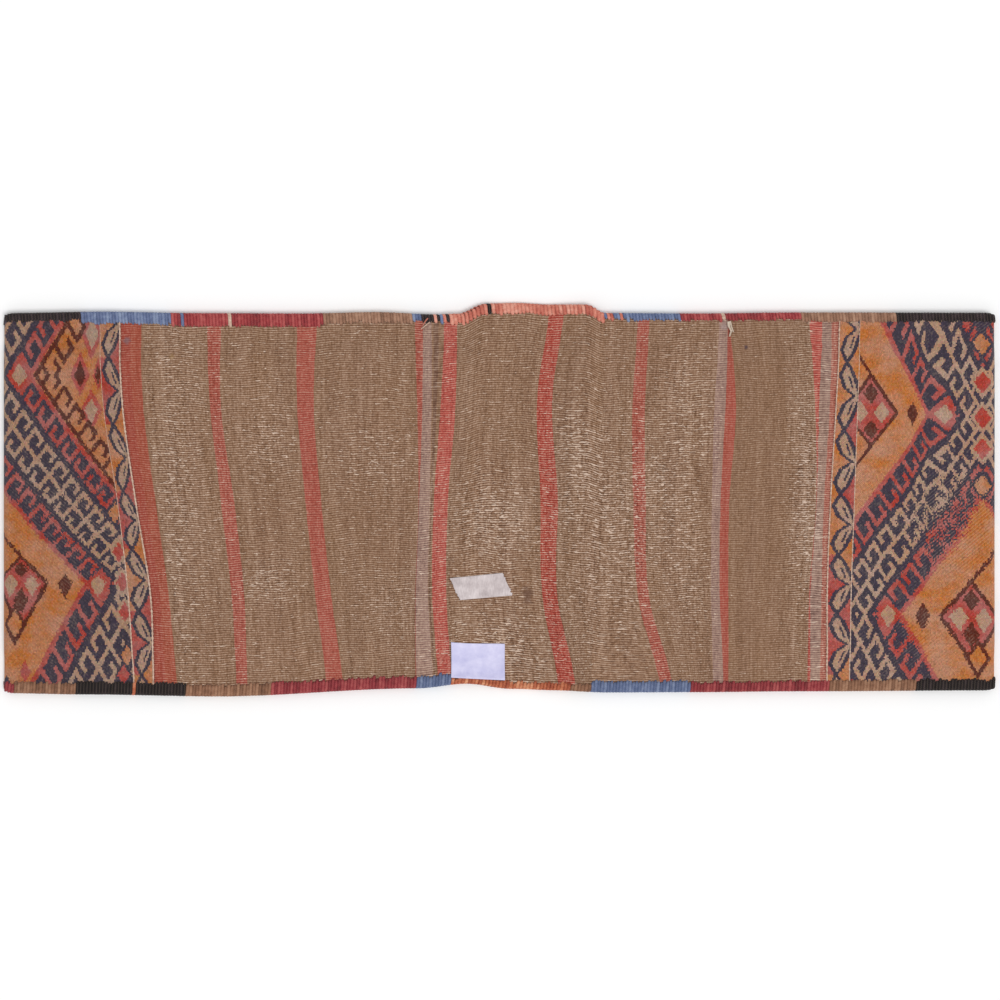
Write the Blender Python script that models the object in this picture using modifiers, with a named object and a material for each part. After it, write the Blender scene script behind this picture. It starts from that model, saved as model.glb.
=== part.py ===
"""A kilim double saddle bag, lying flat with its back up.

One woven strip makes the back, the two end folds and the two pouch faces under it.
Each long side is oversewn with lengths of coloured wool. X runs along the bag, Y across
it, and the faces lie on Z = 0. All sizes are in metres.
"""

import math

import bmesh
import bpy

# Overall size
HALF_LENGTH = 0.600
PART = HALF_LENGTH / 600
CORNER_ROUND = 0.0030
CORNER_REACH = 0.0120

# Places along the bag are given in parts of which 600 make half its length.

# The outline of each long side, as parts along it and Y
UPPER_OUTLINE = (
    (-600, 0.2262), (-480, 0.2280), (-360, 0.2262), (-240, 0.2258),
    (-150, 0.2275), (-75, 0.2246), (-50, 0.2256), (-14, 0.2382),
    (20, 0.2390), (60, 0.2370), (104, 0.2368), (127, 0.2264),
    (240, 0.2258), (360, 0.2270), (600, 0.2266),
)
LOWER_OUTLINE = (
    (-600, -0.2350), (-500, -0.2366), (-340, -0.2390), (-100, -0.2292),
    (-40, -0.2236),
    (15, -0.2302), (70, -0.2318), (130, -0.2342), (240, -0.2338),
    (360, -0.2328), (600, -0.2316),
)

# Cloth
PLAIN_THICKNESS = 0.0030
WRAPPED_THICKNESS = 0.0038
THICKNESS_STEP = 0.0150

# Pouches. Each mouth is given in parts along the upper and the lower edge.
LEFT_MOUTH = (-62, -60)
RIGHT_MOUTH = (125, 109.5)
POUCH_GAP = 0.0100
SEAM_GAP = 0.0012
SEAM_FLAT = 0.0150
SEAM_RISE = 0.0600
SEAM_SLOPE = 0.0220
MOUTH_FLAT = 0.0040
SLACK_WAVE = 0.0006

# The single layer between the mouths comes down to the ground
DRAPE_START = 0.0120
DRAPE_LENGTH = 0.0600

# Oversewing
YARN_THICKNESS = 0.0015
YARN_RIDGE = 0.0005
YARN_BEVEL = 0.0012
BINDING_DEPTH = 0.0130
UPPER_SINGLE_DEPTH = 0.0105
LOWER_SINGLE_DEPTH = 0.0060
BINDING_FOOT = 0.0002
BINDING_CLEARANCE = 0.0003
SIDE_CLEARANCE = 0.0006
SECTION_GAP = 0.0008
STITCH_STEP = 0.0215
LEAST_STITCH = 0.0030
BINDING_END = 0.0030
MOUTH_BINDING_DEPTH = 0.0080
MOUTH_BINDING_SHARE = 0.0870
MOUTH_STITCHES = 24

# Things stuck or sewn on the back
TAPE_THICKNESS = 0.0004
LABEL_THICKNESS = 0.0006
STUCK_ON_GAP = 0.0005
LAID_FROM = 0.0500

CLOTH_INSET = YARN_THICKNESS + YARN_RIDGE + SIDE_CLEARANCE
SEAM_LIFT = BINDING_FOOT + YARN_THICKNESS + BINDING_CLEARANCE

# Weaving lines of the back. Each row gives the line's parts at five places, even from
# the upper edge to the lower one, then the colour that the strip has on the line's right
# and the number of cells up to the next line.
LEFT_LINES = [
    ((-484, -478, -461, -448, -442), "wrapped_red", 1),
    ((-460, -455, -439, -421, -419), "red", 1),
    ((-434, -430, -415, -399, -390), "brown", 3),
    ((-354, -349, -336, -323, -318), "red", 1),
    ((-337, -336, -320, -308, -305), "brown", 3),
    ((-245, -244, -234, -222, -209), "red", 1),
    ((-221, -224, -215, -203, -189), "brown", 3),
    ((-95, -91, -97, -101, -101), "mauve", 1),
    ((-82, -82, -84, -86, -80), "brown", 1),
    ((-66, -71, -79, -81, -74), "red", 1),
]
RIGHT_LINES = [
    ((-51, -53, -62, -64, -58), "brown", 8),
    ((61, 46, 50, 52, 72), "red", 1),
    ((79, 64, 71, 70, 93), "brown", 3),
    ((127, 123, 119, 115, 112), "brown", 2),
    ((168, 161, 162, 168, 196), "red", 1),
    ((182, 176, 177, 181, 211), "brown", 2),
    ((267, 260, 257, 256, 259), "mauve", 1),
    ((277, 269, 267, 267, 270), "red", 1),
    ((283, 286, 278, 274, 277), "brown", 3),
    ((375, 379, 382, 380, 376), "red", 1),
    ((390, 387, 385, 383, 379), "mauve", 1),
    ((401, 396, 393, 391, 388), "red", 1),
    ((416, 406, 401, 398, 395), "wrapped_red", 1),
    ((437, 433, 429, 425, 424), "lattice", 0),
]
LEFT_END_CELLS = 4
RIGHT_END_CELLS = 6
FACE_CELLS = 8
FACE_MOUTH_SHARES = (0.934, 0.975, 1.0)
FOLD_CELLS = 6
SEAM_ROWS = (0.0, 0.035, 0.082, 0.134)
MIDDLE_ROWS = 3

# The hooked diamonds of the wrapped weave: half a repeat along and across the strip as
# shares of half the bag's length, and one diamond's centre at each end as distance
# inwards from the fold and Y.
DIAMOND_SHARES = (0.25, 0.41)
LEFT_DIAMOND = (0.000, -0.107)
RIGHT_DIAMOND = (0.006, -0.140)
DIAMOND_BANDS = (
    (0.16, "wrapped_red"),
    (0.30, "wrapped_brown"),
    (0.58, "wrapped_orange"),
    (0.66, "wrapped_red"),
    (0.84, "wrapped_navy"),
)
FACE_RED_BAND = 0.0450
FACE_DARK_BAND = 0.0450

# Lengths of the oversewing, from left to right, in parts
UPPER_SECTIONS = [
    ("black", -600, -508),
    ("blue", -508, -399),
    ("dark_red", -399, -215),
    ("brown", -215, -106),
    ("blue", -106, -92),
    ("black", -92, LEFT_MOUTH[0]),
    ("orange", LEFT_MOUTH[0], RIGHT_MOUTH[0]),
    ("blue", RIGHT_MOUTH[0], 218),
    ("dark_red", 218, 364),
    ("brown", 364, 479),
    ("black", 479, 600),
]
LOWER_SECTIONS = [
    ("dark_red", -600, -589),
    ("brown", -589, -514),
    ("black", -514, -381),
    ("brown", -381, -278),
    ("dark_red", -278, -102),
    ("blue", -102, LEFT_MOUTH[1]),
    ("orange", LEFT_MOUTH[1], RIGHT_MOUTH[1]),
    ("blue", RIGHT_MOUTH[1], 230),
    ("dark_red", 230, 398),
    ("brown", 398, 503),
    ("black", 503, 600),
]

# Corners of the tape strip and of the label, in order round each
TAPE_CORNERS = ((-0.060, -0.095), (0.0045, -0.089), (0.016, -0.1165), (-0.0475, -0.1215))
LABEL_CORNERS = ((-0.0583, -0.1725), (0.0068, -0.1755), (0.0070, -0.2192), (-0.0583, -0.2156))

COLOURS = {
    "brown": (0.255, 0.155, 0.107, 0.92),
    "red": (0.370, 0.100, 0.075, 0.92),
    "mauve": (0.345, 0.205, 0.180, 0.92),
    "wrapped_red": (0.310, 0.075, 0.058, 0.9),
    "wrapped_brown": (0.085, 0.028, 0.020, 0.9),
    "wrapped_orange": (0.420, 0.175, 0.080, 0.9),
    "wrapped_navy": (0.050, 0.045, 0.062, 0.9),
    "wrapped_beige": (0.340, 0.240, 0.165, 0.9),
    "binding_black": (0.018, 0.013, 0.014, 0.88),
    "binding_blue": (0.110, 0.170, 0.320, 0.88),
    "binding_dark_red": (0.270, 0.045, 0.050, 0.88),
    "binding_brown": (0.260, 0.150, 0.090, 0.88),
    "binding_orange": (0.560, 0.180, 0.120, 0.88),
    "tape": (0.560, 0.500, 0.495, 0.7),
    "label": (0.780, 0.790, 0.900, 0.8),
}

for old in list(bpy.data.objects):
    bpy.data.objects.remove(old, do_unlink=True)

bag = bpy.data.collections.new("kilim_saddle_bag")
bpy.context.scene.collection.children.link(bag)


def material(name):
    """The Principled material of one colour of wool, made once."""
    found = bpy.data.materials.get(name)
    if found:
        return found
    red, green, blue, roughness = COLOURS[name]
    made = bpy.data.materials.new(name)
    made.use_nodes = True
    shader = made.node_tree.nodes["Principled BSDF"]
    shader.inputs["Base Color"].default_value = (red, green, blue, 1.0)
    shader.inputs["Roughness"].default_value = roughness
    shader.inputs["Metallic"].default_value = 0.0
    made.diffuse_color = (red, green, blue, 1.0)
    return made


def ease(value):
    """A smooth step from 0 to 1."""
    t = min(1.0, max(0.0, value))
    return t * t * (3.0 - 2.0 * t)


def mix(a, b, t):
    """The value at share t of the way from a to b."""
    return a + (b - a) * t


def corner_cut(x):
    """How far the outline's corners draw in at the ends of the bag."""
    near = 1.0 - (HALF_LENGTH - abs(x)) / CORNER_REACH
    return CORNER_ROUND * max(0.0, near) ** 2


def outline(places, x):
    """Y of a long side at x, easing from each place of its outline to the next."""
    at = min(places[-1][0], max(places[0][0], x / PART))
    for (p0, y0), (p1, y1) in zip(places, places[1:]):
        if at <= p1:
            return mix(y0, y1, ease((at - p0) / (p1 - p0)))
    return places[-1][1]


def upper_outline(x):
    return outline(UPPER_OUTLINE, x) - corner_cut(x)


def lower_outline(x):
    return outline(LOWER_OUTLINE, x) + corner_cut(x)


def across(x, f):
    """Y at share f of the cloth's width, from 0 at the upper edge to 1 at the lower."""
    top = upper_outline(x) - CLOTH_INSET
    bottom = lower_outline(x) + CLOTH_INSET
    return mix(top, bottom, f)


def inset(x, f):
    """Distance from the nearer long edge of the cloth."""
    width = upper_outline(x) - lower_outline(x) - 2.0 * CLOTH_INSET
    return min(f, 1.0 - f) * width


def mouth(side, f):
    """X of the left (-1) or right (1) mouth at share f."""
    ends = LEFT_MOUTH if side < 0 else RIGHT_MOUTH
    return PART * mix(ends[0], ends[1], f)


def pouch_share(x, f):
    """1 over a pouch, 0 where the single layer lies on the ground."""
    left = ease(1.0 - (x - mouth(-1, f) - DRAPE_START) / DRAPE_LENGTH)
    right = ease(1.0 - (mouth(1, f) - DRAPE_START - x) / DRAPE_LENGTH)
    return max(left, right)


def seam_lift(edge):
    """How far the oversewing under the sides holds the cloth off the ground."""
    return SEAM_LIFT * (1.0 - ease((edge - SEAM_FLAT) / SEAM_SLOPE))


def slack(x, y):
    """The gentle unevenness of the back."""
    slow = math.sin(x * 29.0 + 0.8) * math.cos(y * 17.0 + 0.5)
    quick = math.sin(x * 47.0 - y * 13.0)
    return SLACK_WAVE * (0.65 * slow + 0.35 * quick)


def face_height(side, x, f):
    """Z of the pattern side of a pouch face, which lies on the ground."""
    edge = seam_lift(inset(x, f)) / SEAM_LIFT
    to_mouth = (mouth(side, f) - x) * side * -1.0
    end = 1.0 - ease((to_mouth - MOUTH_BINDING_DEPTH - MOUTH_FLAT) / SEAM_SLOPE)
    return SEAM_LIFT * (1.0 - (1.0 - edge) * (1.0 - end))


def back_height(x, f, thickness):
    """Z of the upper side of the back."""
    edge = inset(x, f)
    rise = ease((edge - SEAM_FLAT) / (SEAM_RISE - SEAM_FLAT))
    gap = mix(SEAM_GAP, POUCH_GAP, rise)
    over = pouch_share(x, f)
    wave = slack(x, across(x, f)) * rise
    return seam_lift(edge) + thickness + over * (WRAPPED_THICKNESS + gap + wave)


def fold_radius(f, side):
    """Outer radius of the end fold at share f of the width."""
    x = side * HALF_LENGTH
    low = seam_lift(inset(x, f))
    return 0.5 * (back_height(x, f, WRAPPED_THICKNESS) - low)


def fold_point(side, f, angle):
    """A point of the end fold, from angle 0 on the back to pi on the face."""
    x = side * HALF_LENGTH
    radius = fold_radius(f, side)
    low = seam_lift(inset(x, f))
    at = side * (HALF_LENGTH - radius + radius * math.sin(angle))
    return (at, across(at, f), low + radius + radius * math.cos(angle))


def line_x(values, f):
    """X of a weaving line at share f, smooth through its five places."""
    place = min(3.999, max(0.0, f * 4.0))
    k = int(place)
    t = place - k
    before = values[max(0, k - 1)]
    a = values[k]
    b = values[k + 1]
    after = values[min(4, k + 2)]
    bend = (2 * before - 5 * a + 4 * b - after) * t * t + (3 * a - before - 3 * b + after) * t ** 3
    return 0.5 * PART * (2 * a + (b - before) * t + bend)


def thickness_at(x, f):
    """The wrapped weave at the ends is thicker than the plain weave."""
    left = line_x(LEFT_LINES[1][0], f)
    right = line_x(RIGHT_LINES[-2][0], f)
    past = max(left - x, x - right)
    return mix(PLAIN_THICKNESS, WRAPPED_THICKNESS, ease(past / THICKNESS_STEP + 0.5))


def rows():
    """Shares of the width at which the cloth's rows lie, denser along both sides."""
    last = SEAM_ROWS[-1]
    middle = [mix(last, 0.5, (k + 1) / MIDDLE_ROWS) for k in range(MIDDLE_ROWS)]
    half = list(SEAM_ROWS) + middle
    return half + [1.0 - share for share in reversed(half[:-1])]


def columns():
    """The strip's columns from the left mouth round to the right mouth.

    Each is (leg, side, values), where values gives X at share f, or the fold's angle.
    The second list holds the colour of the cells on each column's right.
    """
    made = []
    cells = []

    def face(side):
        shares = [FACE_MOUTH_SHARES[0] * k / FACE_CELLS for k in range(FACE_CELLS)]
        for share in shares + list(FACE_MOUTH_SHARES):
            made.append(("face", side, share))
            cells.append("face")

    face(-1)
    made.reverse()
    for k in range(1, FOLD_CELLS + 1):
        made.append(("fold", -1, math.pi * (1.0 - k / FOLD_CELLS)))
        cells.append("wrapped_navy")
    cells[len(made) - FOLD_CELLS - 1] = "wrapped_navy"
    cells[-1] = "lattice"
    for k in range(1, LEFT_END_CELLS):
        made.append(("end", -1, k / LEFT_END_CELLS))
        cells.append("lattice")
    lines = LEFT_LINES + RIGHT_LINES
    for k, (values, colour, count) in enumerate(lines):
        for step in range(max(1, count)):
            after = lines[k + 1][0] if k + 1 < len(lines) else values
            t = step / max(1, count)
            between = tuple(mix(a, b, t) for a, b in zip(values, after))
            made.append(("line", 0, between))
            cells.append(colour)
    for k in range(RIGHT_END_CELLS - 1, 0, -1):
        made.append(("end", 1, k / RIGHT_END_CELLS))
        cells.append("lattice")
    for k in range(FOLD_CELLS):
        made.append(("fold", 1, math.pi * k / FOLD_CELLS))
        cells.append("wrapped_navy")
    start = len(made)
    face(1)
    cells[start - 1] = "wrapped_navy"
    return made, cells[:-1]


def column_point(column, f):
    """Position of the outer surface at share f of a column, and the cloth's thickness."""
    leg, side, value = column
    if leg == "fold":
        x, y, z = fold_point(side, f, value)
        return x, y, z, WRAPPED_THICKNESS
    if leg == "face":
        start = side * (HALF_LENGTH - fold_radius(f, side))
        x = mix(start, mouth(side, f), value)
        return x, across(x, f), face_height(side, x, f), WRAPPED_THICKNESS
    if leg == "end":
        lines = LEFT_LINES[0] if side < 0 else RIGHT_LINES[-1]
        start = side * (HALF_LENGTH - fold_radius(f, side))
        x = mix(start, line_x(lines[0], f), value)
    else:
        x = line_x(value, f)
    thickness = thickness_at(x, f)
    return x, across(x, f), back_height(x, f, thickness), thickness


def diamond_colour(side, along, y):
    """The colour of the wrapped weave at a distance from the fold, + on the face."""
    centre = LEFT_DIAMOND if side < 0 else RIGHT_DIAMOND
    a = abs((along + centre[0]) / (DIAMOND_SHARES[0] * HALF_LENGTH))
    b = abs((y - centre[1]) / (DIAMOND_SHARES[1] * HALF_LENGTH))
    a = a % 2.0
    b = b % 2.0
    a = min(a, 2.0 - a)
    b = min(b, 2.0 - b)
    near = min(a + b, (1.0 - a) + (1.0 - b))
    for limit, colour in DIAMOND_BANDS:
        if near < limit:
            return colour
    return "wrapped_beige"


def face_out(bm):
    """Turns an open sheet's faces so that the highest one looks up."""
    bmesh.ops.recalc_face_normals(bm, faces=bm.faces)
    bm.normal_update()
    highest = max(bm.faces, key=lambda face: face.calc_center_median().z)
    if highest.normal.z < 0.0:
        bmesh.ops.reverse_faces(bm, faces=bm.faces)


def finish(name, bm, colours):
    """Turns a bmesh into an object of the bag, with its materials in order."""
    mesh = bpy.data.meshes.new(name)
    bm.to_mesh(mesh)
    bm.free()
    for colour in colours:
        mesh.materials.append(material(colour))
    mesh.shade_smooth()
    mesh.set_sharp_from_angle(angle=math.radians(40.0))
    made = bpy.data.objects.new(name, mesh)
    bag.objects.link(made)
    return made


def thicken(made, thickness, group=""):
    """A Solidify modifier that adds the thickness on the inner side."""
    solid = made.modifiers.new("thickness", "SOLIDIFY")
    solid.thickness = thickness
    solid.offset = -1.0
    solid.use_even_offset = True
    solid.vertex_group = group


def woven_cloth():
    """The one strip: left face, left fold, back, right fold and right face."""
    places, cells = columns()
    shares = rows()
    last_column = len(places) - 1
    last_row = len(shares) - 1
    bm = bmesh.new()
    bmesh.ops.create_grid(bm, x_segments=last_column, y_segments=last_row, size=1.0)
    for vert in bm.verts:
        vert.co.x = round((vert.co.x + 1.0) * 0.5 * last_column)
        vert.co.y = round((vert.co.y + 1.0) * 0.5 * last_row)
    # The wrapped cells are cut in four, so that their colours meet on slopes
    wrapped = []
    for face in bm.faces:
        centre = face.calc_center_median()
        colour = cells[int(centre.x)]
        if colour in ("lattice", "face"):
            wrapped.append(face)
    bmesh.ops.poke(bm, faces=wrapped)
    names = [name for name in COLOURS if not name.startswith(("binding", "tape", "label"))]
    weights = {}
    grid_places = {}
    for vert in bm.verts:
        u = vert.co.x
        f = last_row - vert.co.y
        low = math.floor(u)
        high = math.ceil(u)
        share = 0.5 * (shares[math.floor(f)] + shares[math.ceil(f)])
        a = column_point(places[low], share)
        if high == low:
            x, y, z, thick = a
        else:
            b = column_point(places[high], share)
            x, y, z, thick = (mix(p, q, 0.5) for p, q in zip(a, b))
        weights[vert] = thick / WRAPPED_THICKNESS
        grid_places[vert] = u
        vert.co = (x, y, z)
    for face in bm.faces:
        u = sum(grid_places[vert] for vert in face.verts) / len(face.verts)
        cell = int(u)
        colour = cells[cell]
        centre = face.calc_center_median()
        side = -1 if centre.x < 0.0 else 1
        along = HALF_LENGTH - abs(centre.x)
        if colour == "lattice":
            colour = diamond_colour(side, -along, centre.y)
        elif colour == "face":
            to_mouth = abs(centre.x - mouth(side, 0.5))
            if to_mouth < FACE_RED_BAND:
                colour = "red"
            elif to_mouth < FACE_RED_BAND + FACE_DARK_BAND:
                colour = "wrapped_red"
            else:
                colour = diamond_colour(side, along, centre.y)
        face.material_index = names.index(colour)
    face_out(bm)
    bm.verts.index_update()
    by_index = {vert.index: weights[vert] for vert in bm.verts}
    made = finish("woven_cloth", bm, names)
    group = made.vertex_groups.new(name="thickness")
    for index, weight in by_index.items():
        group.add([index], weight, "REPLACE")
    thicken(made, WRAPPED_THICKNESS, "thickness")


def edge_knots(f):
    """Corners of the back's edge at share f, as X, Y and Z of its upper side."""
    knots = []
    for leg, side, value in columns()[0]:
        if leg in ("line", "end") or (leg == "fold" and value == 0.0):
            x, y, z, thickness = column_point((leg, side, value), f)
            knots.append((x, y, z))
    first = (-HALF_LENGTH, across(-HALF_LENGTH, f), knots[0][2])
    last = (HALF_LENGTH, across(HALF_LENGTH, f), knots[-1][2])
    return [first] + knots + [last]


def edge_at(knots, x):
    """Y and Z of the back's edge at x, straight from each of its corners to the next."""
    for (x0, y0, z0), (x1, y1, z1) in zip(knots, knots[1:]):
        if x <= x1:
            t = (x - x0) / (x1 - x0)
            return mix(y0, y1, t), mix(z0, z1, t)
    return knots[-1][1:]


def stitch_places(knots, start, end):
    """X of the oversewing's ridges and hollows, with one at each corner of the cloth."""
    inner = [x for x, y, z in knots if start + LEAST_STITCH < x < end - LEAST_STITCH]
    lines = [start] + inner + [end]
    places = [start]
    for a, b in zip(lines, lines[1:]):
        steps = max(1, math.ceil((b - a) / STITCH_STEP))
        places += [mix(a, b, (k + 1) / steps) for k in range(steps)]
    return places


def binding_section(name, colour, edge, start, end, single):
    """Overcast wool round one long side from start to end; edge is 1 for the upper."""
    start = max(PART * start, -HALF_LENGTH + BINDING_END) + 0.5 * SECTION_GAP
    end = min(PART * end, HALF_LENGTH - BINDING_END) - 0.5 * SECTION_GAP
    depth = BINDING_DEPTH
    if single:
        depth = UPPER_SINGLE_DEPTH if edge > 0 else LOWER_SINGLE_DEPTH
    f = 0.0 if edge > 0 else 1.0
    knots = edge_knots(f)
    stations = stitch_places(knots, start, end)
    count = len(stations) - 1
    bm = bmesh.new()
    bmesh.ops.create_grid(bm, x_segments=count, y_segments=5, size=1.0)
    for vert in bm.verts:
        station = round((vert.co.x + 1.0) * 0.5 * count)
        corner = round((vert.co.y + 1.0) * 2.5)
        x = stations[station]
        ridge = YARN_RIDGE if station % 2 else 0.0
        cloth_y, top = edge_at(knots, x)
        outer = abs(cloth_y) + SIDE_CLEARANCE + YARN_THICKNESS + ridge
        crest = top + BINDING_CLEARANCE + YARN_THICKNESS + ridge
        foot = BINDING_FOOT
        if single:
            under = top - PLAIN_THICKNESS
            foot = under - BINDING_CLEARANCE - YARN_THICKNESS
        bevel = YARN_BEVEL
        profile = (
            (outer - depth, crest),
            (outer - bevel, crest),
            (outer, crest - bevel),
            (outer, foot + bevel),
            (outer - bevel, foot),
            (outer - depth, foot),
        )
        y, z = profile[corner]
        vert.co = (x, edge * y, z)
    face_out(bm)
    made = finish(name, bm, ["binding_" + colour])
    thicken(made, YARN_THICKNESS)


def mouth_binding(name, side, colour):
    """Overcast wool along the free end of a pouch face."""
    bm = bmesh.new()
    count = MOUTH_STITCHES
    bmesh.ops.create_grid(bm, x_segments=count, y_segments=5, size=1.0)
    for vert in bm.verts:
        station = round((vert.co.x + 1.0) * 0.5 * count)
        corner = round((vert.co.y + 1.0) * 2.5)
        f = mix(MOUTH_BINDING_SHARE, 1.0 - MOUTH_BINDING_SHARE, station / count)
        ridge = YARN_RIDGE if station % 2 else 0.0
        at = mouth(side, f)
        reach = SIDE_CLEARANCE + YARN_THICKNESS + ridge
        crest = SEAM_LIFT + WRAPPED_THICKNESS + BINDING_CLEARANCE + YARN_THICKNESS + ridge
        foot = BINDING_FOOT
        bevel = YARN_BEVEL
        profile = (
            (reach - MOUTH_BINDING_DEPTH, crest),
            (reach - bevel, crest),
            (reach, crest - bevel),
            (reach, foot + bevel),
            (reach - bevel, foot),
            (reach - MOUTH_BINDING_DEPTH, foot),
        )
        out, z = profile[corner]
        x = at - side * out
        vert.co = (x, across(at, f), z)
    face_out(bm)
    made = finish(name, bm, ["binding_" + colour])
    thicken(made, YARN_THICKNESS)


def laid_patch(name, corners, thickness, colour, cells):
    """A thin four-cornered piece that follows the back's surface."""
    bm = bmesh.new()
    bmesh.ops.create_grid(bm, x_segments=cells[0], y_segments=cells[1], size=1.0)
    for vert in bm.verts:
        u = (vert.co.x + 1.0) * 0.5
        v = (1.0 - vert.co.y) * 0.5
        top = [mix(a, b, u) for a, b in zip(corners[0], corners[1])]
        low = [mix(a, b, u) for a, b in zip(corners[3], corners[2])]
        vert.co = (mix(top[0], low[0], v), mix(top[1], low[1], v), LAID_FROM)
    made = finish(name, bm, [colour])
    wrap = made.modifiers.new("on_the_back", "SHRINKWRAP")
    wrap.target = bpy.data.objects["woven_cloth"]
    wrap.wrap_method = "PROJECT"
    wrap.use_project_z = True
    wrap.use_negative_direction = True
    wrap.use_positive_direction = False
    wrap.offset = STUCK_ON_GAP + thickness
    thicken(made, thickness)


woven_cloth()
for edge, place, sections in ((1, "upper", UPPER_SECTIONS), (-1, "lower", LOWER_SECTIONS)):
    for number, (colour, start, end) in enumerate(sections, 1):
        title = f"{place}_binding_{number:02d}_{colour}"
        binding_section(title, colour, edge, start, end, colour == "orange")
mouth_binding("left_mouth_binding", -1, "brown")
mouth_binding("right_mouth_binding", 1, "brown")
laid_patch("tape_strip", TAPE_CORNERS, TAPE_THICKNESS, "tape", (10, 3))
laid_patch("cloth_label", LABEL_CORNERS, LABEL_THICKNESS, "label", (10, 7))
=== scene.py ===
"""Looks of a kilim double saddle bag that lies flat with its back up.

The weaving follows the CAD part: one strip makes the back, the two end folds and the two
pouch faces. All sizes are in metres unless a name or a comment says millimetres.
"""

import math

import bmesh
import bpy
import numpy as np
from mathutils import Matrix


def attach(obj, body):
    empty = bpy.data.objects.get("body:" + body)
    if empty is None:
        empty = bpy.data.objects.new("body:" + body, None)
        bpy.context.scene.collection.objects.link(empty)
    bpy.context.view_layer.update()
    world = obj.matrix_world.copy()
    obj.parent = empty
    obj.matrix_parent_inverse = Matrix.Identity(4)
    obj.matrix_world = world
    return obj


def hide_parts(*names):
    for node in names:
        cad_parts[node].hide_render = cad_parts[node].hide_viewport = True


MM = 0.001

# The photograph's scale and the pixel that lies over the part's origin
PIXEL = 1.2103 * MM
CENTRE_PX = (499.25, 499.5)

# Form of the bag, as in its CAD source. Outlines are X and Y in millimetres.
HALF_LENGTH = 0.600
CORNER_ROUND = 0.0030
CORNER_REACH = 0.0120
UPPER_OUTLINE = (
    (-600, 226.2), (-480, 228.0), (-360, 226.2), (-240, 225.8), (-150, 227.5),
    (-75, 224.6), (-50, 225.6), (-14, 238.2), (20, 239.0), (60, 237.0),
    (104, 236.8), (127, 226.4), (240, 225.8), (360, 227.0), (600, 226.6),
)
LOWER_OUTLINE = (
    (-600, -235.0), (-500, -236.6), (-340, -239.0), (-100, -229.2), (-40, -223.6),
    (15, -230.2), (70, -231.8), (130, -234.2), (240, -233.8), (360, -232.8), (600, -231.6),
)
PLAIN_THICKNESS = 0.0030
WRAPPED_THICKNESS = 0.0038
THICKNESS_STEP = 0.0150
LEFT_MOUTH = (-0.0620, -0.0600)
RIGHT_MOUTH = (0.1250, 0.1095)
POUCH_GAP = 0.0100
SEAM_GAP = 0.0012
SEAM_FLAT = 0.0150
SEAM_RISE = 0.0600
SLACK_WAVE = 0.0006
DRAPE_START = 0.0120
DRAPE_LENGTH = 0.0600
CLOTH_INSET = 0.0026
SEAM_LIFT = 0.0020
SEAM_SLOPE = 0.0220
MOUTH_FLAT = 0.0040
MOUTH_BINDING_DEPTH = 0.0080
MOUTH_BINDING_SHARE = 0.0870
MOUTH_BINDING_LENGTH = 0.370

# Weaving lines of the back, in millimetres: a line's place in the weave's own coordinate,
# then its X at five places, even from the upper edge to the lower one
WEAVING_LINES = np.array((
    (-461, -484, -478, -461, -448, -442), (-439, -460, -455, -439, -421, -419),
    (-415, -434, -430, -415, -399, -390), (-336, -354, -349, -336, -323, -318),
    (-320, -337, -336, -320, -308, -305), (-234, -245, -244, -234, -222, -209),
    (-215, -221, -224, -215, -203, -189), (-99.5, -102.5, -99, -97.6, -101.5, -101.6),
    (-95, -92.5, -93, -96.8, -100.8, -100.8), (-84, -82, -82, -84, -86, -80),
    (-79, -66, -71, -79, -81, -74), (-62, -51, -53, -62, -64, -58),
    (50, 61, 46, 50, 52, 72), (71, 79, 64, 71, 70, 93),
    (119, 127, 123, 119, 115, 112), (162, 168, 161, 162, 168, 196),
    (177, 182, 176, 177, 181, 211), (257, 267, 260, 257, 256, 259),
    (267, 277, 273.5, 267.5, 266.5, 272), (278, 279, 286, 278, 276.8, 277.5),
    (382, 375.6, 382, 383, 374.5, 373.3), (387, 392, 386.5, 383.8, 376, 376.8),
    (393, 403, 399.5, 392.5, 389.5, 388.5), (401, 412.5, 407, 400.3, 396.2, 397),
    (429, 437, 433, 429, 425, 424),
)).T * MM
LEFT_INNER, LEFT_OUTER = -0.461, -0.439
LINE_TURNS = 84
RIGHT_OUTER, RIGHT_INNER = 0.401, 0.429

# Stripes of the plain back: where each begins on the weave's own coordinate, in millimetres
STRIPES = (
    (-439, "deep_red"), (-427, "old_red"), (-415, "brown"), (-336, "red"), (-320, "brown"),
    (-234, "red"), (-215, "brown"), (-99.5, "red"), (-95, "mauve"), (-84, "brown"),
    (-83.2, "streak"), (-81.2, "brown"), (-79, "bright_red"), (-62, "brown"), (50, "middle_red"),
    (71, "brown"), (162, "red"), (177, "brown"), (257, "mauve"), (267, "red"), (278, "brown"),
    (382, "bright_red"), (387, "mauve"), (393, "tan"),
)

# Oversewing, from left to right, in millimetres
UPPER_SECTIONS = (
    ("black", -600, -508, 9.0), ("blue", -508, -399, 12.6), ("dark_red", -399, -215, 14.5),
    ("brown", -215, -107, 11.0), ("blue", -107, -96, 7.2), ("black", -96, -62, 7.8),
    ("orange", -62, 125, 11.2), ("blue", 125, 218, 6.6), ("dark_red", 218, 364, 7.2),
    ("brown", 364, 479, 9.5), ("black", 479, 600, 9.0),
)
LOWER_SECTIONS = (
    ("dark_red", -600, -589, 9.5), ("brown", -589, -514, 12.5), ("black", -514, -381, 14.0),
    ("brown", -381, -278, 13.0), ("dark_red", -278, -102, 13.0), ("blue", -102, -60, 12.5),
    ("orange", -60, 109.5, 7.5), ("blue", 109.5, 230, 11.5), ("dark_red", 230, 398, 11.0),
    ("brown", 398, 503, 12.0), ("black", 503, 600, 12.0),
)
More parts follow.
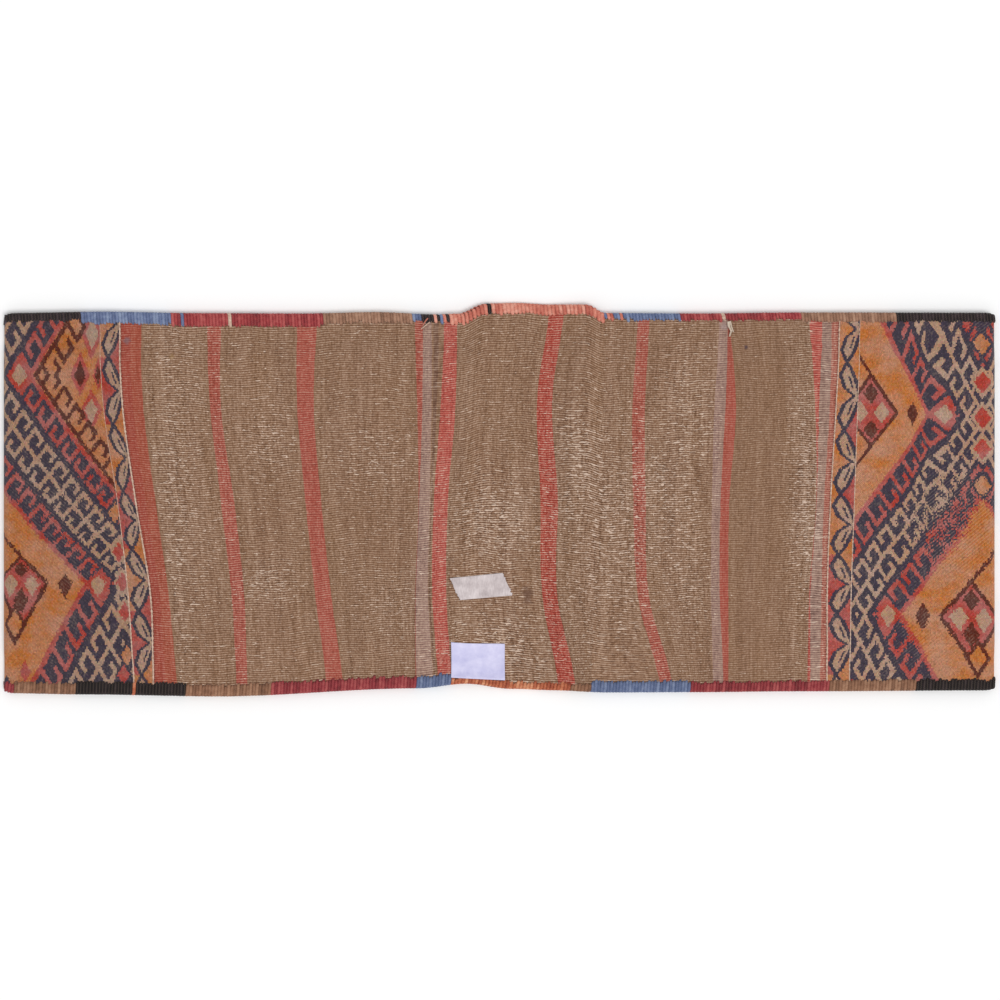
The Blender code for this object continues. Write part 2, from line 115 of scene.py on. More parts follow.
# Stitches of another yarn: side and number of the length, then X px and yarn
ODD_STITCHES = {
    ("upper", 3): ((181, "blue"), (228, "white")),
    ("upper", 6): ((434, "orange"), (440, "blue"), (444, "orange")),
    ("upper", 7): ((487, "black"),),
    ("upper", 8): ((606, "orange"), (611, "orange"), (619, "orange")),
    ("upper", 9): ((722, "white"),),
    ("lower", 3): ((134, "orange"),),
    ("lower", 7): (
        (570, "brown"), (573.5, "brown"), (577, "brown"), (580.5, "brown"), (584, "brown"), (587.5, "brown"),
    ),
}
# The stitches, in metres but for depths in millimetres; their lean is in pitches
STITCH_PITCH = {"upper_orange": 0.0046, "lower_orange": 0.0041}
USUAL_PITCH = 0.0038
YARN_THICKNESS = 0.0015
YARN_CLEARANCE = 0.0002
SIDE_CLEARANCE = 0.0009
STITCH_BEND = 0.0024
STITCH_TUCK = 0.0016
STITCH_SIDES = 6
STITCH_LEAN = 1.5
STITCH_RISE = 0.0022
STITCH_DEPTHS = (5.0, 15.0)
DEPTH_STRAY = 0.9
MOUTH_DEPTH = 8.0
END_MARGIN = 0.0015

TAPE_CORNERS = ((-0.060, -0.095), (0.0045, -0.089), (0.016, -0.1165), (-0.0475, -0.1215))
LABEL_CORNERS = ((-0.0583, -0.1725), (0.0068, -0.1755), (0.0070, -0.2192), (-0.0583, -0.2156))

# Wool and other colours, as they look on the bag
HEX = {
    "brown": "8E6B54",
    "red": "AB5448",
    "old_red": "A5503F",
    "deep_red": "A2493D",
    "bright_red": "BC564E",
    "middle_red": "B2483D",
    "mauve": "9E7E75",
    "streak": "775646",
    "tan": "B0665A",
    "pale_warp": "E4CBB8",
    # Pale wool that also stands for painted light, and the dark between yarns, which stands for painted shade and
    # for darker wool
    "pale_wool_and_highlight": "D2B5A0",
    "depths": "381E12",
    "sumak_red": "AA5049",
    "sumak_orange": "B8774F",
    "sumak_navy": "3D3542",
    "sumak_dark": "5A2A20",
    "sumak_beige": "AD8A74",
    "white_cotton": "CFC0AC",
    "olive_cast": "FFFCEC",
    "soiled_cotton": "AC8A78",
    "clean_cotton": "DABFAB",
    "tape_shade": "A99C9D",
    "tape_light": "DDD2D2",
    "label_shade": "C3C1E6",
    "label_light": "E0DDF8",
}


def linear(code):
    """An sRGB hex value as linear red, green, blue and 1."""
    parts = [int(code[k:k + 2], 16) / 255.0 for k in (0, 2, 4)]
    return tuple(p / 12.92 if p <= 0.04045 else ((p + 0.055) / 1.055) ** 2.4 for p in parts) + (1.0,)


def ease(value):
    """A smooth step from 0 to 1."""
    t = np.clip(value, 0.0, 1.0)
    return t * t * (3.0 - 2.0 * t)


def mix(a, b, t):
    """The value that lies at share t of the way from a to b."""
    return a + (b - a) * t


def between(value, low, high):
    """Whether values lie from low to high."""
    return (value >= low) & (value <= high)


# Form of the bag ---------------------------------------------------------------------


def pixels(x, y):
    """Pixel of the photograph over a point of the plan."""
    return x / PIXEL + CENTRE_PX[0], CENTRE_PX[1] - y / PIXEL


def from_pixels(px, py):
    """Point of the plan under a pixel of the photograph."""
    return (px - CENTRE_PX[0]) * PIXEL, (CENTRE_PX[1] - py) * PIXEL


def outline(places, x):
    """Y of a long side at x, easing from each place of its outline to the next."""
    xs, ys = (np.array(places) * MM).T
    x = np.clip(x, xs[0], xs[-1])
    k = np.clip(np.searchsorted(xs, x) - 1, 0, len(xs) - 2)
    return mix(ys[k], ys[k + 1], ease((x - xs[k]) / (xs[k + 1] - xs[k])))


def corner_cut(x):
    """How much the rounded corners take off the width at x."""
    near = 1.0 - (HALF_LENGTH - np.abs(x)) / CORNER_REACH
    return CORNER_ROUND * np.maximum(0.0, near) ** 2


def side_lines(x):
    """Y of the cloth's upper and lower long edges at x."""
    top = outline(UPPER_OUTLINE, x) - corner_cut(x) - CLOTH_INSET
    low = outline(LOWER_OUTLINE, x) + corner_cut(x) + CLOTH_INSET
    return top, low


def across(x, f):
    """Y at share f of the cloth's width, from 0 at the upper edge to 1 at the lower."""
    top, low = side_lines(x)
    return mix(top, low, f)


def share_of(x, y):
    """The share of the cloth's width at which a point lies."""
    top, low = side_lines(x)
    return (y - top) / (low - top)


def inset(x, f):
    """Distance from the nearer long edge of the cloth."""
    top, low = side_lines(x)
    return np.minimum(f, 1.0 - f) * (top - low)


def mouth(side, f):
    """X of a pouch's mouth, on the left at side -1 and on the right at side 1."""
    ends = LEFT_MOUTH if side < 0 else RIGHT_MOUTH
    return mix(ends[0], ends[1], f)


def pouch_share(x, f):
    """1 over a pouch, 0 where the single layer lies on the ground."""
    left = ease(1.0 - (x - mouth(-1, f) - DRAPE_START) / DRAPE_LENGTH)
    right = ease(1.0 - (mouth(1, f) - DRAPE_START - x) / DRAPE_LENGTH)
    return np.maximum(left, right)


def seam_lift(edge):
    """How far the oversewing under the sides holds the cloth off the ground."""
    return SEAM_LIFT * (1.0 - ease((edge - SEAM_FLAT) / SEAM_SLOPE))


def slack(x, y):
    """The gentle unevenness of the back."""
    slow = np.sin(x * 29.0 + 0.8) * np.cos(y * 17.0 + 0.5)
    quick = np.sin(x * 47.0 - y * 13.0)
    return SLACK_WAVE * (0.65 * slow + 0.35 * quick)


def line_x(place, f):
    """X at share f of the weaving line that crosses the middle at the given place."""
    place, f = np.broadcast_arrays(np.asarray(place, float), np.asarray(f, float))
    stations = np.array([np.interp(place, WEAVING_LINES[0], row) for row in WEAVING_LINES[1:]])
    at = np.clip(f * 4.0, 0.0, 3.999)
    k = at.astype(int)
    t = at - k

    def station(index):
        return np.take_along_axis(stations, np.clip(index, 0, 4)[None], 0)[0]

    before, a, b, after = (station(k + step) for step in (-1, 0, 1, 2))
    bend = (2 * before - 5 * a + 4 * b - after) * t * t + (3 * a - before - 3 * b + after) * t ** 3
    return 0.5 * (2 * a + (b - before) * t + bend)


def thickness_at(x, f):
    """The wrapped weave at the ends is thicker than the plain weave."""
    past = np.maximum(line_x(LEFT_OUTER, f) - x, x - line_x(RIGHT_OUTER, f))
    return mix(PLAIN_THICKNESS, WRAPPED_THICKNESS, ease(past / THICKNESS_STEP + 0.5))


def face_height(side, x, f):
    """Z of the pattern side of a pouch face, which lies on the ground."""
    edge = seam_lift(inset(x, f)) / SEAM_LIFT
    to_mouth = (mouth(side, f) - x) * side * -1.0
    end = 1.0 - ease((to_mouth - MOUTH_BINDING_DEPTH - MOUTH_FLAT) / SEAM_SLOPE)
    return SEAM_LIFT * (1.0 - (1.0 - edge) * (1.0 - end))


def back_height(x, f, thickness):
    """Z of the upper side of the back."""
    edge = inset(x, f)
    rise = ease((edge - SEAM_FLAT) / (SEAM_RISE - SEAM_FLAT))
    gap = mix(SEAM_GAP, POUCH_GAP, rise)
    wave = slack(x, across(x, f)) * rise
    return seam_lift(edge) + thickness + pouch_share(x, f) * (WRAPPED_THICKNESS + gap + wave)


def fold_radius(f, side):
    """Outer radius of the end fold at share f of the width."""
    x = side * HALF_LENGTH + 0.0 * f
    return 0.5 * (back_height(x, f, WRAPPED_THICKNESS) - seam_lift(inset(x, f)))


def back_surface(x, y):
    """Z of the back's upper side over a point of the plan."""
    f = share_of(x, y)
    return back_height(x, f, thickness_at(x, f))


# Small helpers -----------------------------------------------------------------------


def first_output(node):
    """The socket that gives a node's result."""
    return next(output for output in node.outputs if output.enabled)


def add(tree, kind, sockets=None, **settings):
    """Adds a shader node with its settings; a socket takes a value or another node."""
    node = tree.nodes.new("ShaderNode" + kind)
    for key, value in settings.items():
        setattr(node, key, value)
    for key, value in (sockets or {}).items():
        if isinstance(key, int):
            socket = node.inputs[key]
        else:
            socket = next(other for other in node.inputs if other.name == key and other.enabled)
        if isinstance(value, bpy.types.Node):
            value = first_output(value)
        if isinstance(value, bpy.types.NodeSocket):
            tree.links.new(value, socket)
        else:
            socket.default_value = value
    return node


def new_material(name, **sockets):
    """A material with a Principled shader and the sockets that are the same all over."""
    made = bpy.data.materials.new(name)
    made.use_nodes = True
    shader = made.node_tree.nodes["Principled BSDF"]
    for key, value in sockets.items():
        shader.inputs[key.replace("_", " ")].default_value = value
    return made, made.node_tree, shader


def finish_look(tree, shader, tone, height, depth, strength):
    """Gives a shader its colour, and a fine relief of some depth from a height."""
    tree.links.new(first_output(tone), shader.inputs["Base Color"])
    relief = add(tree, "Bump", {"Height": height, "Distance": depth, "Strength": strength})
    tree.links.new(first_output(relief), shader.inputs["Normal"])


def finish_piece(name, mesh, material, replaces):
    """Turns a mesh into a piece of the bag."""
    mesh.name = name
    mesh.materials.append(material)
    mesh.shade_smooth()
    piece = bpy.data.objects.new(name, mesh)
    bpy.context.scene.collection.objects.link(piece)
    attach(piece, "root")
    if replaces:
        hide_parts(*replaces)
    return piece


def corner_array(mesh):
    """The vertex that each face corner uses."""
    corners = np.empty(len(mesh.loops), dtype=np.int32)
    mesh.loops.foreach_get("vertex_index", corners)
    return corners


def store_uv(mesh, name, u, v):
    """A UV map from one pair of values a vertex."""
    corners = corner_array(mesh)
    layer = mesh.uv_layers.new(name=name)
    layer.data.foreach_set("uv", np.column_stack((u[corners], v[corners])).astype(np.float32).ravel())


def store_value(mesh, name, values):
    """One value a vertex, for a material to read."""
    layer = mesh.attributes.new(name=name, type="FLOAT", domain="POINT")
    layer.data.foreach_set("value", np.asarray(values, dtype=np.float32))


def flat_grids(columns, rows, count=1):
    """A mesh of flat grids, one above the other, and its vertices' places from -1 to 1."""
    bm = bmesh.new()
    for number in range(count):
        bmesh.ops.create_grid(
            bm, x_segments=columns, y_segments=rows, size=1.0,
            matrix=Matrix.Translation((0.0, 0.0, float(number))),
        )
    mesh = bpy.data.meshes.new("grid")
    bm.to_mesh(mesh)
    bm.free()
    return mesh, grid_places(mesh)


def grid_places(mesh):
    """X, Y and Z of all the vertices."""
    flat = np.empty(len(mesh.vertices) * 3)
    mesh.vertices.foreach_get("co", flat)
    return flat.reshape(-1, 3).T


def place_vertices(mesh, x, y, z, mirrored=False):
    """Moves the vertices of a grid to their places."""
    mesh.vertices.foreach_set("co", np.column_stack((x, y, z)).astype(np.float32).ravel())
    if mirrored:
        mesh.flip_normals()
    mesh.update()


def close_tubes(mesh):
    """Joins each rolled grid along its seam, closes its ends and turns its faces out."""
    bm = bmesh.new()
    bm.from_mesh(mesh)
    bmesh.ops.remove_doubles(bm, verts=bm.verts, dist=0.00001)
    bmesh.ops.holes_fill(bm, edges=[edge for edge in bm.edges if edge.is_boundary])
    bmesh.ops.recalc_face_normals(bm, faces=bm.faces)
    bm.to_mesh(mesh)
    bm.free()


# The woven strip ---------------------------------------------------------------------

INNER_STEP = 4


def woven_sheet(columns, rows):
    """A closed cloth of two grids, a fine outer one and a coarse inner one, still flat.

    Returns the mesh and, for each vertex, its column, its row and whether it is inside.
    """
    bm = bmesh.new()
    bmesh.ops.create_grid(bm, x_segments=columns, y_segments=rows, size=1.0)
    bmesh.ops.create_grid(
        bm, x_segments=columns // INNER_STEP, y_segments=rows // INNER_STEP, size=1.0,
        matrix=Matrix.Translation((0.0, 0.0, -0.01)),
    )
    rims = [edge for edge in bm.edges if edge.is_boundary]
    bmesh.ops.bridge_loops(bm, edges=rims)
    bmesh.ops.recalc_face_normals(bm, faces=bm.faces)
    mesh = bpy.data.meshes.new("cloth")
    bm.to_mesh(mesh)
    bm.free()
    across_grid, along_grid, level = grid_places(mesh)
    column = np.rint((across_grid + 1.0) * 0.5 * columns).astype(int)
    row = np.rint((1.0 - along_grid) * 0.5 * rows).astype(int)
    return mesh, column, row, level < -0.005


def column_places(lines, step):
    """Places of the columns: one on each line and the others even between them."""
    counts = np.ceil(np.diff(lines) / step).astype(int)
    while counts.sum() % INNER_STEP:
        counts[np.argmax(np.diff(lines) / counts)] += 1
    runs = [np.linspace(a, b, n, endpoint=False) for a, b, n in zip(lines, lines[1:], counts)]
    return np.concatenate(runs + [lines[-1:]])


WEAVE_WIDTH = 0.460
RIBS = 168
BACK_STEP = 0.0046
BACK_ROWS = 2 * RIBS
RIB_DEPTH = 0.0007
RIB_STRAY = 0.0008
RIB_HOLD = 0.020

# Where the back is worn so that pale warps show: X and Y px, reach in px, and how much
WORN_ALL_OVER = 0.20
WORN_PLACES = (
    (176, 500, 28, 260, 0.50), (268, 445, 22, 40, 0.50), (268, 582, 26, 22, 0.60),
    (375, 460, 30, 34, 0.40), (395, 605, 30, 30, 0.40), (490, 520, 44, 50, 0.75),
    (500, 650, 45, 45, 0.80), (578, 450, 24, 50, 0.60), (605, 560, 50, 110, 0.60),
    (690, 400, 26, 60, 0.45), (662, 480, 36, 60, 0.45), (690, 570, 20, 60, 0.50),
    (806, 500, 16, 130, 0.75), (752, 500, 30, 600, -0.25),
)
# Bands of the back in smoother wool: from and to on the weave's coordinate, and how much
CALM_BANDS = ((-440, -414, 0.80), (-236, -214, 0.35), (266, 278, 0.60), (282, 345, 0.20))


def around(px, py, places):
    """The sum of amounts that fade with the distance from their places, all in px."""
    return sum(
        amount * np.exp(-((px - cx) / rx) ** 2 - ((py - cy) / ry) ** 2)
        for cx, cy, rx, ry, amount in places
    )


def rib_stray(x, y):
    """How far the ribs lie from their even places, where the cloth was pulled about."""
    broad = np.sin(x * 57.0 + 1.7 * np.sin(y * 31.0 + 0.4))
    return RIB_STRAY * (broad + 0.7 * np.sin(x * 131.0 + y * 43.0 + 1.3))


def plain_back(material):
    """The plain-woven back with its ribs, from one outer white line to the other."""
    lines = WEAVING_LINES[0]
    places = column_places(lines[(lines >= LEFT_OUTER) & (lines <= RIGHT_OUTER)], BACK_STEP)
    mesh, column, row, inner = woven_sheet(len(places) - 1, BACK_ROWS)
    place = places[column]
    f = row / BACK_ROWS
    x = line_x(place, f)
    y = across(x, f)
    y = y + rib_stray(x, y) * np.minimum(1.0, inset(x, f) / RIB_HOLD)
    thickness = thickness_at(x, f)
    z = back_height(x, f, thickness) - np.where(inner, thickness, RIB_DEPTH * (1 - row % 2))
    place_vertices(mesh, x, y, z)
    store_uv(mesh, "weave", place, f * WEAVE_WIDTH)
    px, py = pixels(x, y)
    worn = WORN_ALL_OVER + around(px, py, WORN_PLACES)
    for start, end, amount in CALM_BANDS:
        worn = worn - np.where(between(place, start * MM, end * MM), amount, 0.0)
    store_value(mesh, "worn", np.clip(worn, -1.0, 1.0))
    return finish_piece("plain_woven_back", mesh, material, ["woven_cloth"])


# The wrapped weave -------------------------------------------------------------------

# Crossings of the border's waves, as Y px of the photograph
BORDER_CROSSINGS = {
    -1: (224.0, 290.5, 357.5, 424.7, 491.5, 549.0, 610.8, 675.0, 741.0),
    1: (228.0, 295.5, 362.5, 430.0, 494.0, 554.8, 613.5, 674.7, 741.0),
}
# How the wrapped rows are beaten down, as Y px and the pattern's own step
BEATING = {
    -1: ((200, -100.0), (376, 0.0), (440, 44.4), (490, 82.3), (530, 115.6), (583, 166.6), (763, 266.6)),
    1: ((200, -110.0), (335, -47.0), (351, -40.8), (370, -29.0), (413, 0.0), (470, 44.5),
        (520, 81.0), (614, 147.6), (790, 248.2)),
}
# The lattice of each end along the strip: px from the fold and the pattern's step from
# the full diamond's centre, then half a repeat along and across
SPREAD = {
    -1: ((-1000, -996.5), (1000, 1003.5)),
    1: ((-900, 1155.0), (13.5, 142.0), (49.9, 98.7), (68.1, 87.5), (83.0, 66.0), (96.3, 50.0),
        (147.0, 0.0), (300.0, -153.0)),
}
# The right end's lower diamonds are wider: their own spread, and the Y px where it begins and rules
LOW_SPREAD = (
    (-900, 1041.0), (-1.0, 142.0), (12.2, 130.6), (36.7, 109.4), (56.9, 93.0), (72.8, 76.0),
    (107.9, 43.3), (147.0, 0.0), (300.0, -153.0),
)
LOW_FROM, LOW_FULL = 500.0, 560.0
FULL_STEP = {-1: 166.6, 1: 0.0}
# How far the rows of each end sag, as px from the fold and px downwards
SAG = {-1: ((0, 0.0), (100, 0.0)), 1: ((12, 5.0), (50, 1.8), (115, 0.0))}
HALF_REPEAT = {-1: (124.0, 166.6), 1: (142.0, 147.6)}
# Where the wraps of each end are worn and out of line: X and Y px, reach and px astray
FRAYED = {
    -1: ((60, 520, 70, 90, 0.5),),
    1: ((955, 525, 36, 40, 2.6), (975, 325, 26, 16, 0.6), (925, 640, 40, 30, 0.8)),
}
WRAP_ASTRAY = 0.30
WORN_ASTRAY = 1.2

# The wrapped weave's colours by number
ORANGE, RED, DARK, NAVY, BEIGE, PLAIN_RED, PLAIN_BROWN, WHITE = range(8)
# The chain of lozenges between two full diamonds: pattern's step, Y px, outline and core
CHAIN = {
    -1: (
        (115.5, 513.0, NAVY, ORANGE), (119.5, 552.0, BEIGE, RED), (123.0, 582.5, BEIGE, RED),
        (125.5, 612.0, BEIGE, RED), (127.5, 655.0, NAVY, ORANGE), (123.5, 675.0, NAVY, RED),
    ),
    1: (
        (142.0, 339.0, NAVY, ORANGE), (142.0, 378.0, BEIGE, RED), (142.0, 413.0, BEIGE, RED),
        (142.0, 444.0, BEIGE, RED), (142.0, 481.0, NAVY, ORANGE),
    ),
}
# Half the width of its lozenges in steps and half their height in px
LINK_SIZE = {-1: (9.0, 15.5), 1: (15.0, 16.5)}
LINK_CORE = 0.68
# The border's colours from top to bottom: beside the outer white line between two
# crossings, and beside the inner white line at each crossing
OUTER_FIELDS = {
    -1: (RED, ORANGE, RED, ORANGE, RED, ORANGE, RED, ORANGE),
    1: (RED, ORANGE, ORANGE, ORANGE, ORANGE, RED, RED, ORANGE),
}
INNER_FIELDS = {
    -1: (RED, ORANGE, RED, ORANGE, RED, ORANGE, RED, ORANGE, RED),
    1: (ORANGE, RED, ORANGE, RED, RED, ORANGE, RED, ORANGE, RED),
}

# Places in a diamond, in the pattern's steps from its middle: edge of its heart, its field,
# the red line round it and the red hooks outside; then a hook's repeat and its yarns' width
HEART, FIELD, RED_LINE, RED_HOOKS = 46.0, 85.0, 90.5, 115.5
HOOK, STEM = 24.2, 4.8


def fold_back(value, half):
    """A distance folded into half a repeat, as a mirrored pattern repeats."""
    value = np.abs(value) % (2.0 * half)
    return np.minimum(value, 2.0 * half - value)


def lattice_colours(side, along, py):
    """Colour numbers of the hooked diamonds at px from the fold and Y px."""
    half_x, half_g = HALF_REPEAT[side]
    py = py - np.interp(along, *np.array(SAG[side]).T)
    x = np.interp(along, *np.array(SPREAD[side]).T)
    if side > 0:
        x = mix(x, np.interp(along, *np.array(LOW_SPREAD).T), ease((py - LOW_FROM) / (LOW_FULL - LOW_FROM)))
    wide, tall = LINK_SIZE[side]
    links = [np.abs(x % (2.0 * half_x) - cx) / wide + np.abs(py - cy) / tall for cx, cy, _, _ in CHAIN[side]]
    x = fold_back(x, half_x)
    row = np.interp(py, *np.array(BEATING[side]).T) - FULL_STEP[side]
    row = (row + half_g) % (2.0 * half_g) - half_g
    g = np.abs(row)
    meet = 0.5 * (half_x + half_g)
    full = x + g <= meet
    x = np.where(full, x, half_x - x)
    g = np.where(full, g, half_g - g)
    under = (row > 0.0) & full if side < 0 else (row < 0.0) & ~full
    if side > 0:
        full = np.ones_like(full)
    d = x + g
    p = x - g
    colour = np.full(d.shape, ORANGE)

    def lozenge(cx, cg, half_width, half_height):
        return np.abs(x - cx) / half_width + np.abs(g - cg) / half_height

    # Full diamond: two lozenges at its heart, then a dark line and orange with a sliver
    heart = (np.abs(x - 22.0) + g) / 27.6
    inside = full & (d < HEART)
    colour[inside & (heart < 1.0)] = DARK
    colour[inside & (heart < 0.85)] = RED
    colour[inside & (lozenge(11.4, 0.0, 8, 8) < 1.0)] = BEIGE
    colour[inside & (lozenge(32.6, 0.0, 8, 8) < 1.0)] = BEIGE
    colour[inside & (lozenge(22.0, 13.0 - 3.5 * under, 7.5, 7.5) < 1.0)] = DARK
    colour[full & between(d, HEART, HEART + 4.0)] = DARK
    below = lozenge(15.8, 22.8, 11.5, 11.8)
    colour[under & (below < 1.0)] = DARK
    colour[under & (below < 0.66)] = ORANGE
    colour[under & (d < 54.0) & (g - x > 19.0)] = ORANGE
    colour[full & (lozenge(66.0, 0.0, 7.5, 9.0) < 1.0)] = DARK
    if side < 0:
        colour[under & (lozenge(25.0, 49.5, 5.5, 6.5) < 1.0)] = RED
        colour[under & (lozenge(6.5, 56.0, 5.0, 4.5) < 1.0)] = NAVY

    # The other diamond: small lozenges at its heart and dark hooks round them
    other = ~full
    for cx, cg, width, height, core in ((32, 24, 11, 15, BEIGE), (43, 0, 10, 14, DARK), (25, 0, 6, 10, DARK)):
        colour[other & (lozenge(cx, cg, width, height) < 1.0)] = RED
        colour[other & (lozenge(cx, cg, 0.6 * width, 0.6 * height) < 1.0)] = core
    hook = np.mod(p, HOOK)
    colour[other & between(d, 65.0, FIELD) & (hook < STEM)] = DARK
    colour[other & between(d, 65.0, 70.0) & ((hook < STEM) | (hook > 9.0))] = DARK
    colour[other & between(d, 65.0, 78.0) & between(hook, 9.0, 9.0 + STEM)] = DARK
    colour[other & between(d, FIELD, 90.0)] = DARK

    # Both: a red line, red hooks on navy, beige hooks and the beige trunk where they meet
    colour[full & between(d, FIELD, RED_LINE)] = RED
    colour[d > RED_LINE] = NAVY
    colour[other & between(d, RED_LINE, RED_LINE + 5.0)] = RED
    hook = np.mod(p + 9.0, HOOK)
    colour[between(d, RED_LINE, RED_HOOKS) & (hook < STEM)] = RED
    colour[between(d, RED_HOOKS - 5.0, RED_HOOKS) & (hook < 14.5 + STEM)] = RED
    colour[between(d, RED_HOOKS - 14.5, RED_HOOKS) & between(hook, 14.5, 14.5 + STEM)] = RED
    hook = np.mod(p, HOOK)
    colour[between(d, meet - 22.0, meet) & (hook < STEM)] = BEIGE
    colour[between(d, meet - 22.5, meet - 17.5) & ((hook < STEM) | (hook > 9.7))] = BEIGE
    colour[between(d, meet - 22.5, meet - 10.0) & between(hook, 9.7, 9.7 + STEM)] = BEIGE
    colour[d > meet - 2.4] = BEIGE

    # A lozenge on each diamond's corner, and a chain of lozenges where two meet
    corner = lozenge(np.where(full, 98.7, 104.0), 0.0, 12.8, 12.0)
    colour[corner < 1.0] = RED
    colour[corner < 0.62] = BEIGE
    for link, (_, _, outer, core) in zip(links, CHAIN[side]):
        colour[link < 1.0] = outer
        colour[link < LINK_CORE] = core
    return colour


# One wave of the border in its own steps, and half its navy line as a share of the width
WAVE_LENGTH = 66.0
WAVE_LINE = 0.092


def border_colours(side, c, py):
    """Colour numbers of the border's waves at share c between its white lines and Y px."""
    crossings = np.array(BORDER_CROSSINGS[side])
    k = np.clip(np.searchsorted(crossings, py) - 1, 0, len(crossings) - 2)
    part = np.clip((py - crossings[k]) / (crossings[k + 1] - crossings[k]), 0.0, 1.0)
    tau = WAVE_LENGTH * np.minimum(part, 1.0 - part)
    near = np.interp(tau, (0.0, 12.0, 25.0, 32.5, 33.0), (0.40, 0.13, 0.36, 0.80, 0.82))
    far = np.interp(tau, (0.0, 7.6, 20.0, 26.0, 33.0), (0.40, 0.66, 0.90, 1.00, 1.10))
    colour = np.array(OUTER_FIELDS[side])[k]
    colour = np.where(c > far, np.array(INNER_FIELDS[side])[k + (part > 0.5)], colour)
    colour = np.where((c > near) & (c < far), BEIGE, colour)
    notch = np.interp(tau, (14.0, 26.0), (0.55, 0.75))
    colour = np.where(between(tau, 14.0, 26.0) & (np.abs(c - notch) < 0.045), NAVY, colour)
    line = np.minimum(np.abs(c - near), np.abs(c - far)) < WAVE_LINE
    return np.where(line, NAVY, colour)


# The names in HEX of the colours by number
BAG_YARNS = ("sumak_orange", "sumak_red", "sumak_dark", "sumak_navy", "sumak_beige", "red", "brown", "white_cotton")
END_ROWS = 252
WRAP_SHADES = 0.11
WRAP_HUES = 0.06
# The right end has faded more than the left one
FADING = {-1: 1.0, 1: 1.16}
BACK_CELLS = {-1: 108, 1: 132}
FOLD_CELLS = 20
FACE_CELLS = {-1: 200, 1: 180}
# The pouch face from its mouth: its brown stripe, its border, and half a white line there
FACE_STRIPE = (0.012, 0.030)
FACE_PLAIN = 0.045
FACE_BORDER = 0.090
FACE_LINE = 0.06
NOT_IN_BORDER = 9.0


def wrapped_end(side, material):
    """One wrapped end: the back as far as the white line, the fold and the pouch face."""
    back, face = BACK_CELLS[side], FACE_CELLS[side]
    mesh, column, row, inner = woven_sheet(back + FOLD_CELLS + face, END_ROWS)
    f = row / END_ROWS
    radius = fold_radius(f, side)
    start = side * (HALF_LENGTH - radius)
    outer_line = line_x(LEFT_OUTER if side < 0 else RIGHT_OUTER, f)
    inner_line = line_x(LEFT_INNER if side < 0 else RIGHT_INNER, f)

    # The back
    x = mix(outer_line, start, np.clip(column / back, 0.0, 1.0))
    thickness = np.where(column > back, WRAPPED_THICKNESS, thickness_at(x, f))
    z = back_height(x, f, thickness) - np.where(inner, thickness, 0.0)
    along = (HALF_LENGTH - np.abs(x)) / PIXEL
    share = (np.abs(x) - np.abs(outer_line)) / (np.abs(inner_line) - np.abs(outer_line))

    # The fold, whose inner side turns on a smaller radius
    turn = np.clip((column - back) / FOLD_CELLS, 0.0, 1.0) * math.pi
    on_fold = column > back
    turned = radius - np.where(inner, WRAPPED_THICKNESS, 0.0)
    low = seam_lift(inset(side * HALF_LENGTH + 0.0 * f, f))
    x = np.where(on_fold, side * (HALF_LENGTH - radius + turned * np.sin(turn)), x)
    z = np.where(on_fold, low + radius + turned * np.cos(turn), z)
    along = np.where(on_fold, (radius - radius * turn) / PIXEL, along)

    # The face
    on_face = column > back + FOLD_CELLS
    run = np.clip((column - back - FOLD_CELLS) / face, 0.0, 1.0)
    face_x = mix(start, mouth(side, f), run)
    x = np.where(on_face, face_x, x)
    z = np.where(on_face, face_height(side, face_x, f) + np.where(inner, WRAPPED_THICKNESS, 0.0), z)
    along = np.where(on_face, (radius * (1.0 - math.pi) - np.abs(face_x - start)) / PIXEL, along)
    share = np.where(on_fold | on_face, NOT_IN_BORDER, share)
    to_mouth = np.where(on_face, np.abs(mouth(side, f) - face_x), 1.0)

    y = across(x, f)
    place_vertices(mesh, x, y, z, mirrored=side > 0)
    store_uv(mesh, "weave", -along * PIXEL, f * WEAVE_WIDTH)
    colour_wraps(mesh, side, along, share, to_mouth, x, y)
    title = "left_wrapped_end" if side < 0 else "right_wrapped_end"
    return finish_piece(title, mesh, material, ["woven_cloth"])


